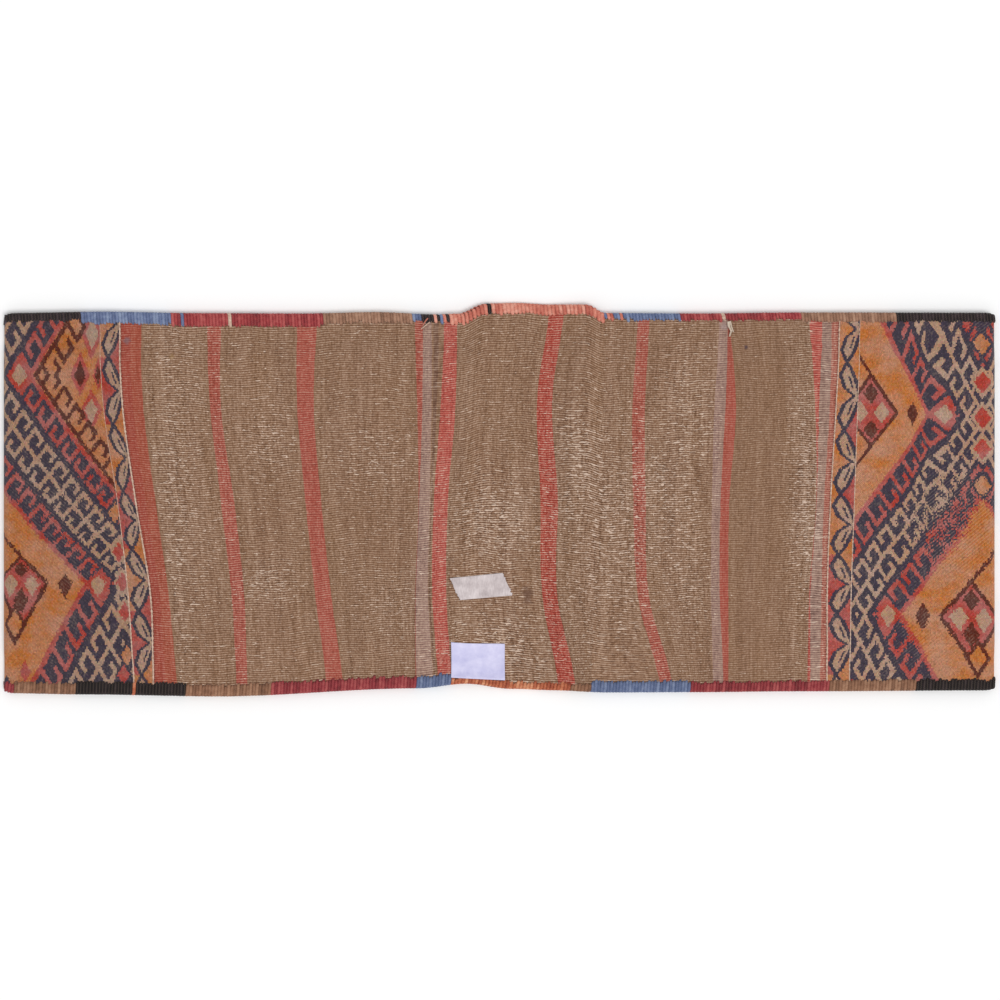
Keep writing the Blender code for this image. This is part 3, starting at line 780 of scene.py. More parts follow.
def colour_wraps(mesh, side, along, share, to_mouth, x, y):
    """Gives each wrap its colour, worked out at the middle of its face, and stores its wear.

    share is the place between the white lines of the back, to_mouth the way to the pouch's mouth.
    """
    corners = corner_array(mesh)
    starts = np.empty(len(mesh.polygons), dtype=np.int32)
    counts = np.empty(len(mesh.polygons), dtype=np.int32)
    mesh.polygons.foreach_get("loop_start", starts)
    mesh.polygons.foreach_get("loop_total", counts)

    def middle(values):
        return np.add.reduceat(values[corners], starts) / counts

    along, share, to_mouth, x, y = (middle(v) for v in (along, share, to_mouth, x, y))
    px, py = pixels(x, y)
    astray = WRAP_ASTRAY + around(px, py, FRAYED[side])
    wraps = np.random.default_rng(40 + side)
    along = along + astray * wraps.normal(0.0, 1.0, len(along))
    py = py + astray * wraps.normal(0.0, 1.0, len(along))
    colour = lattice_colours(side, along, py)
    from_left = 1.0 - share if side < 0 else share
    colour = np.where(share < 1.0, border_colours(side, from_left, py), colour)
    face_share = (to_mouth - FACE_PLAIN) / (FACE_BORDER - FACE_PLAIN)
    colour = np.where(face_share < 1.0, border_colours(side, face_share, py), colour)
    plain = np.where(between(to_mouth, *FACE_STRIPE), PLAIN_BROWN, PLAIN_RED)
    colour = np.where(face_share < 0.0, plain, colour)
    on_line = np.minimum(np.abs(face_share), np.abs(face_share - 1.0)) < FACE_LINE
    colour = np.where(on_line, WHITE, colour)
    table = np.array([linear(HEX[name]) for name in BAG_YARNS])
    shades = table[colour]
    shades[:, :3] *= FADING[side] * np.clip(wraps.normal(1.0, WRAP_SHADES, (len(along), 1)), 0.55, 1.6)
    shades[:, :3] *= np.clip(wraps.normal(1.0, WRAP_HUES, (len(along), 3)), 0.7, 1.3)
    layer = mesh.color_attributes.new(name="yarn_colour", type="FLOAT_COLOR", domain="CORNER")
    layer.data.foreach_set("color", np.repeat(shades, counts, axis=0).astype(np.float32).ravel())
    worn = np.zeros(len(mesh.vertices))
    worn[corners] = np.repeat(np.clip((astray - WRAP_ASTRAY) / WORN_ASTRAY, 0.0, 1.0), counts)
    store_value(mesh, "worn", worn)


# The white lines: share of the width left free at an end, depth of the two strands, unevenness
LINE_START = 0.006
STRAND_DEPTH = 0.30
LINE_UNEVEN = 0.12


def white_line(name, place, thick, material, rng):
    """The twined white weft along one weaving line, as two strands that turn round each other.

    thick gives its radius in millimetres at even places from the upper edge to the lower.
    """
    lengths, sides = 540, 8
    mesh, (s, angle, _) = flat_grids(lengths, sides)
    s = (s + 1.0) * 0.5
    angle = (angle + 1.0) * math.pi
    f = mix(LINE_START, 1.0 - LINE_START, s)
    x = line_x(place, f)
    y = across(x, f)
    waver = np.interp(s * lengths, np.arange(lengths + 1), rng.normal(0.0, 1.0, lengths + 1))
    strand = np.cos(angle * 2.0 - s * 2.0 * math.pi * LINE_TURNS)
    radius = np.interp(f, np.linspace(0.0, 1.0, len(thick)), thick) * MM
    radius = radius * (1.0 + STRAND_DEPTH * strand + LINE_UNEVEN * waver)
    radius = radius * np.minimum(1.0, np.minimum(s, 1.0 - s) * 200.0 + 0.02)
    x, z = x + radius * np.cos(angle), back_surface(x, y) + 0.85 * radius * np.sin(angle)
    place_vertices(mesh, x, y, z)
    store_uv(mesh, "yarn", s * WEAVE_WIDTH, angle)
    close_tubes(mesh)
    return finish_piece(name, mesh, material, [])


def loose_thread(name, points, radius, material):
    """A short end of yarn on the back through points of X px, Y px and height above it."""
    lengths, sides = 24, 6
    mesh, (s, angle, _) = flat_grids(lengths, sides)
    s = (s + 1.0) * 0.5 * (len(points) - 1)
    angle = (angle + 1.0) * math.pi
    k = np.minimum(s.astype(int), len(points) - 2)
    px, py, lift = (mix(column[k], column[k + 1], ease(s - k)) for column in np.array(points, float).T)
    x, y = from_pixels(px, py)
    way = np.array(points[-1][:2], float) - np.array(points[0][:2], float)
    way /= np.hypot(*way)
    slim = radius * (1.0 - 0.5 * s / (len(points) - 1))
    x = x + slim * np.cos(angle) * way[1]
    y = y + slim * np.cos(angle) * way[0]
    z = back_surface(x, y) + lift * MM + slim * (1.0 + np.sin(angle))
    place_vertices(mesh, x, y, z)
    store_uv(mesh, "yarn", s * 0.004, angle)
    store_value(mesh, "shade", np.full(len(s), 0.6))
    close_tubes(mesh)
    return finish_piece(name, mesh, material, [])


# Oversewing --------------------------------------------------------------------------


def stitch_paths(upper, lower, crest, sole):
    """The stitches' middle lines round an edge, as distance outwards and Z, one row each.

    upper and lower are their depths, crest and sole the Z of the yarn over and under it.
    """
    side = SIDE_CLEARANCE + 0.5 * YARN_THICKNESS + 0.0 * crest
    bend = np.minimum(STITCH_BEND, 0.45 * (crest - sole))
    turn = bend * (1.0 - math.sqrt(0.5))
    out = (
        -upper, STITCH_RISE - upper, side - bend, side - turn, side,
        side, side - turn, side - bend, STITCH_RISE - lower, -lower,
    )
    z = (
        crest - STITCH_TUCK, crest, crest, crest - turn, crest - bend,
        sole + bend, sole + turn, sole, sole, sole + STITCH_TUCK,
    )
    return np.stack(out, axis=1), np.stack(z, axis=1)


def oversewing(name, node, pitch, foot, out_way, upper, lower, crest, sole, material, rng):
    """A piece of flat yarns laid side by side round an edge, one for each foot."""
    count = len(foot)
    path_out, path_z = stitch_paths(upper, lower, crest, sole)
    steps = path_out.shape[1] - 1
    ahead_out, ahead_z = np.gradient(path_out, axis=1), np.gradient(path_z, axis=1)
    size = np.hypot(ahead_out, ahead_z)
    stretches = (np.diff(path, prepend=path[:, :1]) for path in (path_out, path_z))
    run = np.cumsum(np.hypot(*stretches), axis=1)

    mesh, (s, angle, number) = flat_grids(steps, STITCH_SIDES, count)
    at = np.rint(number).astype(int), np.rint((s + 1.0) * 0.5 * steps).astype(int)
    angle = (angle + 1.0) * math.pi
    ends = (at[1] == 0) | (at[1] == steps)
    girth = np.where(ends, 0.5, 1.0) * np.clip(rng.normal(1.0, 0.05, count), 0.85, 1.15)[at[0]]
    # A flattened yarn: six sides, of which two stand against its neighbours
    flat_top = np.sign(np.cos(angle)) * np.abs(np.cos(angle)) ** 0.75
    lift = 0.5 * YARN_THICKNESS * girth * flat_top
    aside = 0.52 * pitch / math.sin(math.pi / 3.0) * girth * np.sin(angle)
    aside = aside + pitch * STITCH_LEAN * (0.5 - at[1] / steps)
    out = path_out[at] - lift * (ahead_z / size)[at]
    z = path_z[at] + lift * (ahead_out / size)[at]
    along_way = np.array((abs(out_way[1]), abs(out_way[0])))
    x = foot[at[0], 0] + out_way[0] * out + along_way[0] * aside
    y = foot[at[0], 1] + out_way[1] * out + along_way[1] * aside
    place_vertices(mesh, x, y, z)
    store_uv(mesh, "yarn", run[at], angle / (2.0 * math.pi))
    store_value(mesh, "shade", rng.random(count)[at[0]])
    close_tubes(mesh)
    return finish_piece(name, mesh, material, [node])


def side_binding(place, number, section, materials, rng):
    """One length of oversewing along a long side, with its stitches of other yarns."""
    colour, start, end, depth = section
    upper = place == "upper"
    node = f"{place}_binding_{number:02d}_{colour}"
    pitch = STITCH_PITCH.get(f"{place}_{colour}", USUAL_PITCH)
    start = start * MM + 0.5 * pitch
    end = min(end * MM, HALF_LENGTH - END_MARGIN) - 0.5 * pitch
    count = max(2, round((end - start) / pitch) + 1)
    x = np.linspace(start, end, count)
    y = side_lines(x)[0 if upper else 1]
    f = 0.0 if upper else 1.0
    top = back_height(x, f, thickness_at(x, f))
    under = top - PLAIN_THICKNESS if colour == "orange" else np.full(count, SEAM_LIFT)
    yarns = np.full(count, colour, dtype=object)
    for px, other in ODD_STITCHES.get((place, number), ()):
        yarns[np.argmin(np.abs(x - from_pixels(px, 0.0)[0]))] = other
    depths = np.clip(rng.normal(depth, DEPTH_STRAY, (2, count)), *STITCH_DEPTHS) * MM
    made = []
    for yarn in dict.fromkeys([colour, *yarns]):
        mine = yarns == yarn
        title = node + ("_yarn" if yarn == colour else f"_{yarn}_stitches")
        look = materials.get(f"{place}_{yarn}", materials[yarn])
        made.append(oversewing(
            title, node, pitch, np.column_stack((x, y))[mine], (0.0, 1.0 if upper else -1.0),
            depths[0][mine], depths[1][mine], (top + YARN_CLEARANCE + 0.5 * YARN_THICKNESS)[mine],
            (under - YARN_CLEARANCE - 0.5 * YARN_THICKNESS)[mine], look, rng,
        ))
    return made


def mouth_binding(side, materials, rng):
    """Oversewing along the free end of a pouch face."""
    shares = np.linspace(MOUTH_BINDING_SHARE, 1.0 - MOUTH_BINDING_SHARE, round(MOUTH_BINDING_LENGTH / USUAL_PITCH))
    x = mouth(side, shares)
    level = np.full(len(x), SEAM_LIFT)
    depths = rng.normal(MOUTH_DEPTH, 0.5, (2, len(x))) * MM
    name = "left_mouth_binding" if side < 0 else "right_mouth_binding"
    return oversewing(
        name + "_yarn", name, USUAL_PITCH, np.column_stack((x, across(x, shares))), (-float(side), 0.0),
        depths[0], depths[1], level + WRAPPED_THICKNESS + YARN_CLEARANCE + 0.5 * YARN_THICKNESS,
        level - YARN_CLEARANCE - 0.5 * YARN_THICKNESS, materials["brown"], rng,
    )


# Things stuck or sewn on the back ----------------------------------------------------

PATCH_GAP = 0.2 * MM
TAPE_THICKNESS = 0.3 * MM
LABEL_THICKNESS = 0.5 * MM
TORN = 40


def laid_patch(name, corners, columns, rows, thickness, ripple, edge, material):
    """A thin patch on the back. ripple gives its own height, edge moves its rim."""
    mesh, (u, v, _) = flat_grids(columns, rows)
    u, v = edge((u + 1.0) * 0.5, (1.0 - v) * 0.5)
    a, b, c, d = (np.array(corner)[:, None] for corner in corners)
    x, y = mix(mix(a, b, u), mix(d, c, u), v)
    z = back_surface(x, y) + thickness + PATCH_GAP + ripple(u, v)
    place_vertices(mesh, x, y, z)
    store_uv(mesh, "patch", x, y)
    piece = finish_piece(name + "_sheet", mesh, material, [name])
    solid = piece.modifiers.new("thickness", "SOLIDIFY")
    solid.thickness = thickness
    solid.offset = -1.0
    return piece


def tape(material):
    """The strip of paper tape, with torn ends and creases."""
    rng = np.random.default_rng(31)
    torn_left = rng.normal(0.0, 0.012, TORN)
    torn_right = rng.normal(0.0, 0.010, TORN)
    creases = rng.uniform(0.0, 1.0, (9, 3))

    def edge(u, v):
        left = np.interp(v, np.linspace(0, 1, TORN), torn_left)
        right = np.interp(v, np.linspace(0, 1, TORN), torn_right)
        return mix(left, 1.0 + right, u), v

    def ripple(u, v):
        height = 0.0
        for a, b, c in creases:
            distance = np.abs((u - a) + (v - 0.5) * (b - 0.5) * 0.8)
            height = height + 0.00032 * c * np.exp(-((distance / 0.022) ** 2))
        return height + 0.0003 * (1.0 + np.sin(u * 9.0 + v * 3.0))

    return laid_patch("tape_strip", TAPE_CORNERS, 90, 30, TAPE_THICKNESS, ripple, edge, material)


def label(material):
    """The sewn label: a hem all round, a soft wave, and its foot over the stitches."""
    def edge(u, v):
        bow = 0.012 * np.sin(v * math.pi)
        return mix(bow * 0.4, 1.0 - bow * 0.3, u), mix(0.010 * np.sin(u * math.pi * 1.5), 1.0, v)

    def ripple(u, v):
        near = np.minimum(np.minimum(u, 1.0 - u) * 1.45, np.minimum(v, 1.0 - v))
        hem = 0.00045 * (1.0 - ease((near - 0.055) / 0.02))
        wave = 0.0004 * (1.0 + np.sin(u * 11.0 + v * 4.0)) * np.sin(v * math.pi)
        over_stitches = 0.0016 * ease((v - 0.80) / 0.18)
        return hem + wave + over_stitches

    return laid_patch("cloth_label", LABEL_CORNERS, 72, 48, LABEL_THICKNESS, ripple, edge, material)


# Materials ---------------------------------------------------------------------------

# A wave texture of scale 1 repeats after this length
WAVE_REPEAT = 0.1 * math.pi
# Real spacings: wefts and ribs of the plain weave, rows and wraps of the wrapped weave, and
# the plies of a yarn. What is too fine for the render is drawn coarser, at the spacing below.
WEFT = 1.3 * MM
RIB = WEAVE_WIDTH / RIBS
WRAP_ROW = 1.35 * MM
WRAP = 1.8 * MM
DRAWN_WRAP = 3.4 * MM
PLY = 2.1 * MM
DRAWN_LABEL_THREAD = 0.7 * MM
# How far a stripe's edge wavers, and the size of blots, dye blotches, fuzz and soiling
STRIPE_WAVER = 1.6 * MM
BLOT = 4.55 * MM
BLOTCH = 5.26 * MM
FUZZ = 0.667 * MM
SOIL = 3.85 * MM
# How uneven each weave is: length along the strip and width across it, then strength. For
# the plain one these are whole wefts, parts of one, slubs of the wool, and runs on a rib.
PLAIN_UNEVEN = (
    (0.009, 0.160, 0.65), (0.0026, 0.030, 0.90), (0.0026, 0.0030, 1.50), (0.0120, 0.0025, 0.75),
)
WRAPPED_UNEVEN = ((0.014, 0.030, 0.30), (0.0030, 0.0050, 0.40), (0.0022, 0.0024, 0.40))
# Painted light on a rib against painted shade between two, as levels
RIB_CONTRAST, RIB_MIDDLE = 0.84, 0.43
# The plain weave's contrast, of its painted rib light and shade and of its uneven wool, and what
# wear adds; the limit over which the noise shows pale warp and what wear takes off it
CONTRAST, WORN_CONTRAST = 0.70, 0.42
DASH_LIMIT, WORN_DASHES = 0.815, 0.19

# Marks on the plain back: X and Y px, reach in px, its sRGB colour and its strength
MARKS = (
    (528.0, 593.0, 7.5, "684B3D", 0.75), (527.0, 600.5, 5.0, "6E5041", 0.55),
    (746.0, 347.0, 2.4, "4B3B48", 0.85), (127.0, 341.0, 4.2, "75666C", 0.60),
    (172.0, 357.0, 3.6, "9A7A4C", 0.40), (724.5, 326.0, 4.5, "B09A96", 0.55),
)


def cells(*sizes):
    """The scale that gives the cells of a noise these sizes."""
    return tuple(1.0 / size for size in sizes)


def set_stops(ramp, first, last, *others):
    """Gives a colour ramp its stops, each a position and an sRGB hex value."""
    stops = ramp.color_ramp.elements
    for stop, (position, code) in zip(stops, (first, last)):
        stop.position, stop.color = position, linear(code)
    for position, code in others:
        stops.new(position).color = linear(code)


def patchy(tree, level, at, patches):
    """Adds noises to a level, each given by its length, its width and its strength."""
    for length, width, amount in patches:
        scaled = add(tree, "Mapping", {"Vector": at, "Scale": cells(length, width, 1.0)})
        noise = add(
            tree, "TexNoise", {"Vector": scaled, "Scale": 1.0, "Detail": 2.5, "Roughness": 0.65},
            noise_dimensions="2D",
        )
        level = add(tree, "Math", {0: noise, 1: amount, 2: level}, operation="MULTIPLY_ADD")
    middle = -0.5 * sum(amount for _, _, amount in patches)
    return add(tree, "Math", {0: level, 1: middle}, operation="ADD")


def shaded(tree, tone, level):
    """A colour taken towards the dark between yarns, which gives painted shade and darker wool, or towards pale
    wool, which gives painted light and paler wool, by a level from -1 to 1.
    """
    for name, most in (("depths", -1.0), ("pale_wool_and_highlight", 1.0)):
        part = add(tree, "MapRange", {"Value": level, "From Max": most})
        tone = add(tree, "Mix", {"Factor": part, "A": tone, "B": linear(HEX[name])}, data_type="RGBA")
    return tone


# Plain weft-faced weave of hand-spun wool: matt, ribbed along the warps, with painted light on
# the ribs and painted shade between them, each weft a little lighter or darker than the next,
# with pale warps showing where it is worn.
def plain_weave():
    made, tree, shader = new_material(
        "weft_faced_wool", Roughness=0.93, Metallic=0.0, IOR=1.5, Specular_IOR_Level=0.2,
        Sheen_Weight=0.08, Sheen_Roughness=0.5,
    )
    weave = add(tree, "UVMap", uv_map="weave")
    axes = add(tree, "SeparateXYZ", {0: weave})

    # Stripes, whose edges waver by a weft or two
    slow = add(tree, "Mapping", {"Vector": weave, "Scale": cells(0.050, 0.0167, 1.0)})
    waver = add(
        tree, "TexNoise", {"Vector": slow, "Scale": 1.0, "Detail": 3.0, "Roughness": 0.7},
        noise_dimensions="2D",
    )
    place = add(tree, "Math", {0: waver, 1: STRIPE_WAVER, 2: axes.outputs[0]}, operation="MULTIPLY_ADD")
    tone = linear(HEX[STRIPES[0][1]])
    for start, name in STRIPES[1:]:
        past = add(tree, "Math", {0: place, 1: start * MM + 0.5 * STRIPE_WAVER}, operation="GREATER_THAN")
        tone = add(tree, "Mix", {"Factor": past, "A": tone, "B": linear(HEX[name])}, data_type="RGBA")

    # Dye lots in broad columns, then wefts, and painted light and shade on the ribs, with more contrast where it is
    # worn
    lots_at = add(tree, "Mapping", {"Vector": weave, "Scale": cells(0.0222, 0.200, 1.0)})
    lots = add(
        tree, "TexNoise", {"Vector": lots_at, "Scale": 1.0, "Detail": 3.0, "Roughness": 0.6},
        noise_dimensions="2D",
    )
    tone = add(
        tree, "Mix", {"Factor": lots, "A": tone, "B": linear(HEX["olive_cast"])},
        data_type="RGBA", blend_type="MULTIPLY",
    )
    worn = add(tree, "Attribute", attribute_name="worn").outputs["Fac"]
    ribs = add(
        tree, "TexWave",
        {"Vector": weave, "Scale": WAVE_REPEAT / RIB, "Distortion": 0.9, "Detail": 2.0, "Detail Scale": 1.4},
        bands_direction="Y",
    )
    # Painted light on the ribs and painted shade between them
    level = add(tree, "Math", {0: ribs, 1: RIB_CONTRAST, 2: -RIB_MIDDLE}, operation="MULTIPLY_ADD")
    level = patchy(tree, level, weave, PLAIN_UNEVEN)
    strength = add(tree, "Math", {0: worn, 1: WORN_CONTRAST, 2: CONTRAST}, operation="MULTIPLY_ADD")
    level = add(tree, "Math", {0: level, 1: strength}, operation="MULTIPLY")
    tone = shaded(tree, tone, level)

    # Where the wefts are worn, short pale lengths of warp show on the ribs
    dash_at = add(
        tree, "Mapping",
        {"Vector": weave, "Scale": cells(0.0075, 0.0017, 1.0), "Rotation": (0.0, 0.0, 0.10)},
    )
    dashes = add(
        tree, "TexNoise",
        {"Vector": dash_at, "Scale": 1.0, "Detail": 1.5, "Roughness": 0.5, "Distortion": 1.1},
        noise_dimensions="2D",
    )
    limit = add(tree, "Math", {0: worn, 1: -WORN_DASHES, 2: DASH_LIMIT}, operation="MULTIPLY_ADD")
    on_ribs = add(tree, "Math", {0: ribs, 1: 0.13, 2: dashes}, operation="MULTIPLY_ADD")
    over = add(tree, "Math", {0: on_ribs, 1: limit}, operation="SUBTRACT")
    shown = add(tree, "MapRange", {"Value": over, "From Max": 0.06, "To Max": 0.85})
    tone = add(tree, "Mix", {"Factor": shown, "A": tone, "B": linear(HEX["pale_warp"])}, data_type="RGBA")

    # Old marks, with uneven edges
    solid = add(tree, "TexCoord").outputs["Object"]
    blot = add(tree, "TexNoise", {"Vector": solid, "Scale": 1.0 / BLOT, "Detail": 3.0, "Roughness": 0.6})
    for px, py, reach, code, strength in MARKS:
        x, y = from_pixels(px, py)
        centre = (x, y, float(back_surface(np.array(x), np.array(y))))
        away = add(tree, "VectorMath", {0: solid, 1: centre}, operation="DISTANCE").outputs["Value"]
        reach = reach * PIXEL
        edge = add(tree, "Math", {0: blot, 1: 1.6 * reach, 2: away}, operation="MULTIPLY_ADD")
        mark = add(
            tree, "MapRange", {"Value": edge, "From Min": 1.9 * reach, "From Max": 1.2 * reach, "To Max": strength}
        )
        tone = add(tree, "Mix", {"Factor": mark, "A": tone, "B": linear(code)}, data_type="RGBA")

    # Each weft is a bead over each warp
    beads = add(tree, "TexWave", {"Vector": weave, "Scale": WAVE_REPEAT / WEFT}, bands_direction="X")
    height = add(tree, "Math", {0: beads, 1: 0.35, 2: dashes}, operation="MULTIPLY_ADD")
    finish_look(tree, shader, tone, height, 0.7 * MM, 0.8)
    return made


# Wrapped (sumak) weave of dyed wool: each wrap leans over its warps, matt and a little
# uneven in its dye, so that a field of one colour is grained and never flat. The painted light and
# shade of the leaning wraps is drawn coarser than they are, so that it shows.
def wrapped_weave():
    made, tree, shader = new_material(
        "wrapped_wool", Roughness=0.9, Metallic=0.0, IOR=1.5, Specular_IOR_Level=0.2,
        Sheen_Weight=0.08, Sheen_Roughness=0.5,
    )
    yarn = add(tree, "Attribute", attribute_name="yarn_colour")
    weave = add(tree, "UVMap", uv_map="weave")
    lots_at = add(tree, "Mapping", {"Vector": weave, "Scale": cells(0.0455, 0.0294, 1.0)})
    lots = add(
        tree, "TexNoise", {"Vector": lots_at, "Scale": 1.0, "Detail": 3.0, "Roughness": 0.6},
        noise_dimensions="2D",
    )
    richness = add(
        tree, "MapRange", {"Value": lots, "From Min": 0.35, "From Max": 0.65, "To Min": 0.88, "To Max": 1.12}
    )
    tone = add(tree, "HueSaturation", {"Saturation": richness, "Color": yarn.outputs["Color"]})
    leaning = add(tree, "Mapping", {"Vector": weave, "Rotation": (0.0, 0.0, math.radians(40.0))})
    hatch = add(
        tree, "TexWave", {"Vector": leaning, "Scale": WAVE_REPEAT / DRAWN_WRAP, "Distortion": 1.2},
        bands_direction="Y",
    )
    worn = add(tree, "Attribute", attribute_name="worn").outputs["Fac"]
    # Painted light and painted shade of the leaning wraps, stronger where they are worn
    raised = add(tree, "Math", {0: hatch, 1: -0.5}, operation="ADD")
    strength = add(tree, "Math", {0: worn, 1: 0.25, 2: 0.05}, operation="MULTIPLY_ADD")
    level = add(tree, "Math", {0: raised, 1: strength}, operation="MULTIPLY")
    tone = shaded(tree, tone, patchy(tree, level, weave, WRAPPED_UNEVEN))

    # Rows of wraps that lean to and fro
    rows = add(tree, "TexWave", {"Vector": weave, "Scale": WAVE_REPEAT / WRAP_ROW}, bands_direction="X")
    wraps = add(
        tree, "TexWave", {"Vector": leaning, "Scale": WAVE_REPEAT / WRAP, "Distortion": 1.5},
        bands_direction="Y",
    )
    height = add(tree, "Math", {0: rows, 1: wraps}, operation="ADD")
    finish_look(tree, shader, tone, height, 0.6 * MM, 0.8)
    return made


# Plied wool of the oversewing: soft and matt, its plies twisted, with painted shade at its sides and
# painted light on its plies, and each stitch a slightly different lot, so that the colour changes from yarn to yarn
# and along it.
def dyed_yarn(name, dark, main, light):
    made, tree, shader = new_material(
        name, Roughness=0.85, Metallic=0.0, IOR=1.5, Specular_IOR_Level=0.25,
        Sheen_Weight=0.10, Sheen_Roughness=0.45,
    )
    yarn = add(tree, "UVMap", uv_map="yarn")
    shade = add(tree, "Attribute", attribute_name="shade")
    solid = add(tree, "TexCoord").outputs["Object"]
    blotches = add(tree, "TexNoise", {"Vector": solid, "Scale": 1.0 / BLOTCH, "Detail": 3.0, "Roughness": 0.6})
    patches = add(tree, "Math", {0: blotches, 1: 1.1, 2: -0.30}, operation="MULTIPLY_ADD")
    tone = add(tree, "Math", {0: shade.outputs["Fac"], 1: 0.5, 2: patches}, operation="MULTIPLY_ADD")
    ramp = add(tree, "ValToRGB", {0: tone})
    set_stops(ramp, (0.10, dark), (0.95, light), (0.50, main))
    leaning = add(tree, "Mapping", {"Vector": yarn, "Scale": (1.0, PLY, 1.0), "Rotation": (0.0, 0.0, 0.6)})
    plies = add(tree, "TexWave", {"Vector": leaning, "Scale": WAVE_REPEAT / PLY}, bands_direction="X")
    # Painted shade on its sides, twice in its girth, where they lie between neighbours
    sides = add(tree, "TexWave", {"Vector": yarn, "Scale": WAVE_REPEAT / 0.5}, bands_direction="Y")
    level = add(tree, "Math", {0: sides, 1: -0.30, 2: 0.02}, operation="MULTIPLY_ADD")
    # Painted light on its plies
    level = add(tree, "Math", {0: plies, 1: 0.08, 2: level}, operation="MULTIPLY_ADD")
    fuzz = add(tree, "TexNoise", {"Vector": solid, "Scale": 1.0 / FUZZ, "Detail": 2.0})
    height = add(tree, "Math", {0: plies, 1: fuzz}, operation="ADD")
    finish_look(tree, shader, shaded(tree, ramp, level), height, 0.4 * MM, 0.7)
    return made


# Undyed cotton of the twined lines: off-white, soiled between its turns.
def white_cotton():
    made, tree, shader = new_material(
        "twined_cotton", Roughness=0.9, Metallic=0.0, IOR=1.5, Specular_IOR_Level=0.2, Sheen_Weight=0.1
    )
    solid = add(tree, "TexCoord").outputs["Object"]
    soil = add(tree, "TexNoise", {"Vector": solid, "Scale": 1.0 / SOIL, "Detail": 4.0, "Roughness": 0.7})
    ramp = add(tree, "ValToRGB", {0: soil})
    set_stops(ramp, (0.34, HEX["soiled_cotton"]), (0.64, HEX["clean_cotton"]))
    finish_look(tree, shader, ramp, soil, 0.3 * MM, 0.5)
    return made


# Crepe paper tape: thin, faintly creased across, pale with a pinkish grey cast.
def paper_tape():
    made, tree, shader = new_material(
        "crepe_paper_tape", Roughness=0.72, Metallic=0.0, IOR=1.45, Specular_IOR_Level=0.3
    )
    solid = add(tree, "TexCoord").outputs["Object"]
    mapped = add(
        tree, "Mapping",
        {"Vector": solid, "Rotation": (0.0, 0.0, 0.1), "Scale": cells(0.00111, 0.00625, 0.010)},
    )
    crepe = add(tree, "TexNoise", {"Vector": mapped, "Scale": 1.0, "Detail": 4.0, "Roughness": 0.7})
    clouds = add(tree, "TexNoise", {"Vector": solid, "Scale": 1.0 / (11.1 * MM), "Detail": 3.0})
    both = add(tree, "Math", {0: crepe, 1: clouds}, operation="ADD")
    half = add(tree, "Math", {0: both, 1: 0.5}, operation="MULTIPLY")
    ramp = add(tree, "ValToRGB", {0: half})
    set_stops(ramp, (0.30, HEX["tape_shade"]), (0.66, HEX["tape_light"]))
    finish_look(tree, shader, ramp, crepe, 0.3 * MM, 0.7)
    return made


# Plain woven label cloth: fine even threads, a cool white with a soft sheen. Its threads
# are 0.35 mm apart and drawn at twice that, so that they show.
def label_cloth():
    made, tree, shader = new_material(
        "white_label_cotton", Roughness=0.62, Metallic=0.0, IOR=1.5, Specular_IOR_Level=0.3,
        Sheen_Weight=0.2, Sheen_Roughness=0.4,
    )
    patch = add(tree, "UVMap", uv_map="patch")
    clouds = add(tree, "TexNoise", {"Vector": patch, "Scale": 1.0 / (16.7 * MM), "Detail": 4.0, "Roughness": 0.6})
    ramp = add(tree, "ValToRGB", {0: clouds})
    set_stops(ramp, (0.30, HEX["label_shade"]), (0.70, HEX["label_light"]))
    warp, weft = (
        add(tree, "TexWave", {"Vector": patch, "Scale": WAVE_REPEAT / DRAWN_LABEL_THREAD}, bands_direction=way)
        for way in "XY"
    )
    threads = add(tree, "Math", {0: warp, 1: weft}, operation="MULTIPLY")
    finish_look(tree, shader, ramp, threads, 0.2 * MM, 0.6)
    return made


# White card of the ground, matt and even.
def white_card():
    return new_material(
        "white_card", Base_Color=(1.0, 1.0, 1.0, 1.0), Roughness=0.95, Metallic=0.0, Specular_IOR_Level=0.0
    )[0]


# Build -------------------------------------------------------------------------------

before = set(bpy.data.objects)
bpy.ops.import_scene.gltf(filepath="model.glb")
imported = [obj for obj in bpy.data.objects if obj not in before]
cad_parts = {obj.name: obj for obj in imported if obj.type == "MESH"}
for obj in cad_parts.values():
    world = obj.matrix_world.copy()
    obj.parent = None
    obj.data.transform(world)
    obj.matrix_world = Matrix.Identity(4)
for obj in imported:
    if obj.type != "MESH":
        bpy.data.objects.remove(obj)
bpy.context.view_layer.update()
rng = np.random.default_rng(7)

wool = wrapped_weave()
back = plain_back(plain_weave())
left_end = wrapped_end(-1, wool)
right_end = wrapped_end(1, wool)

cotton = white_cotton()
lines = [
    white_line(name, place, thick, cotton, rng)
    for name, place, thick in (
        ("left_inner_white_line", LEFT_INNER, (0.25, 0.35, 0.30, 0.25, 0.35, 0.50, 0.80, 0.85, 0.85)),
        ("left_outer_white_line", LEFT_OUTER, (0.95, 1.00)),
        ("right_outer_white_line", RIGHT_OUTER, (0.75, 0.80, 1.00)),
        ("right_inner_white_line", RIGHT_INNER, (0.35, 0.45, 0.55, 0.65, 0.65)),
    )
]

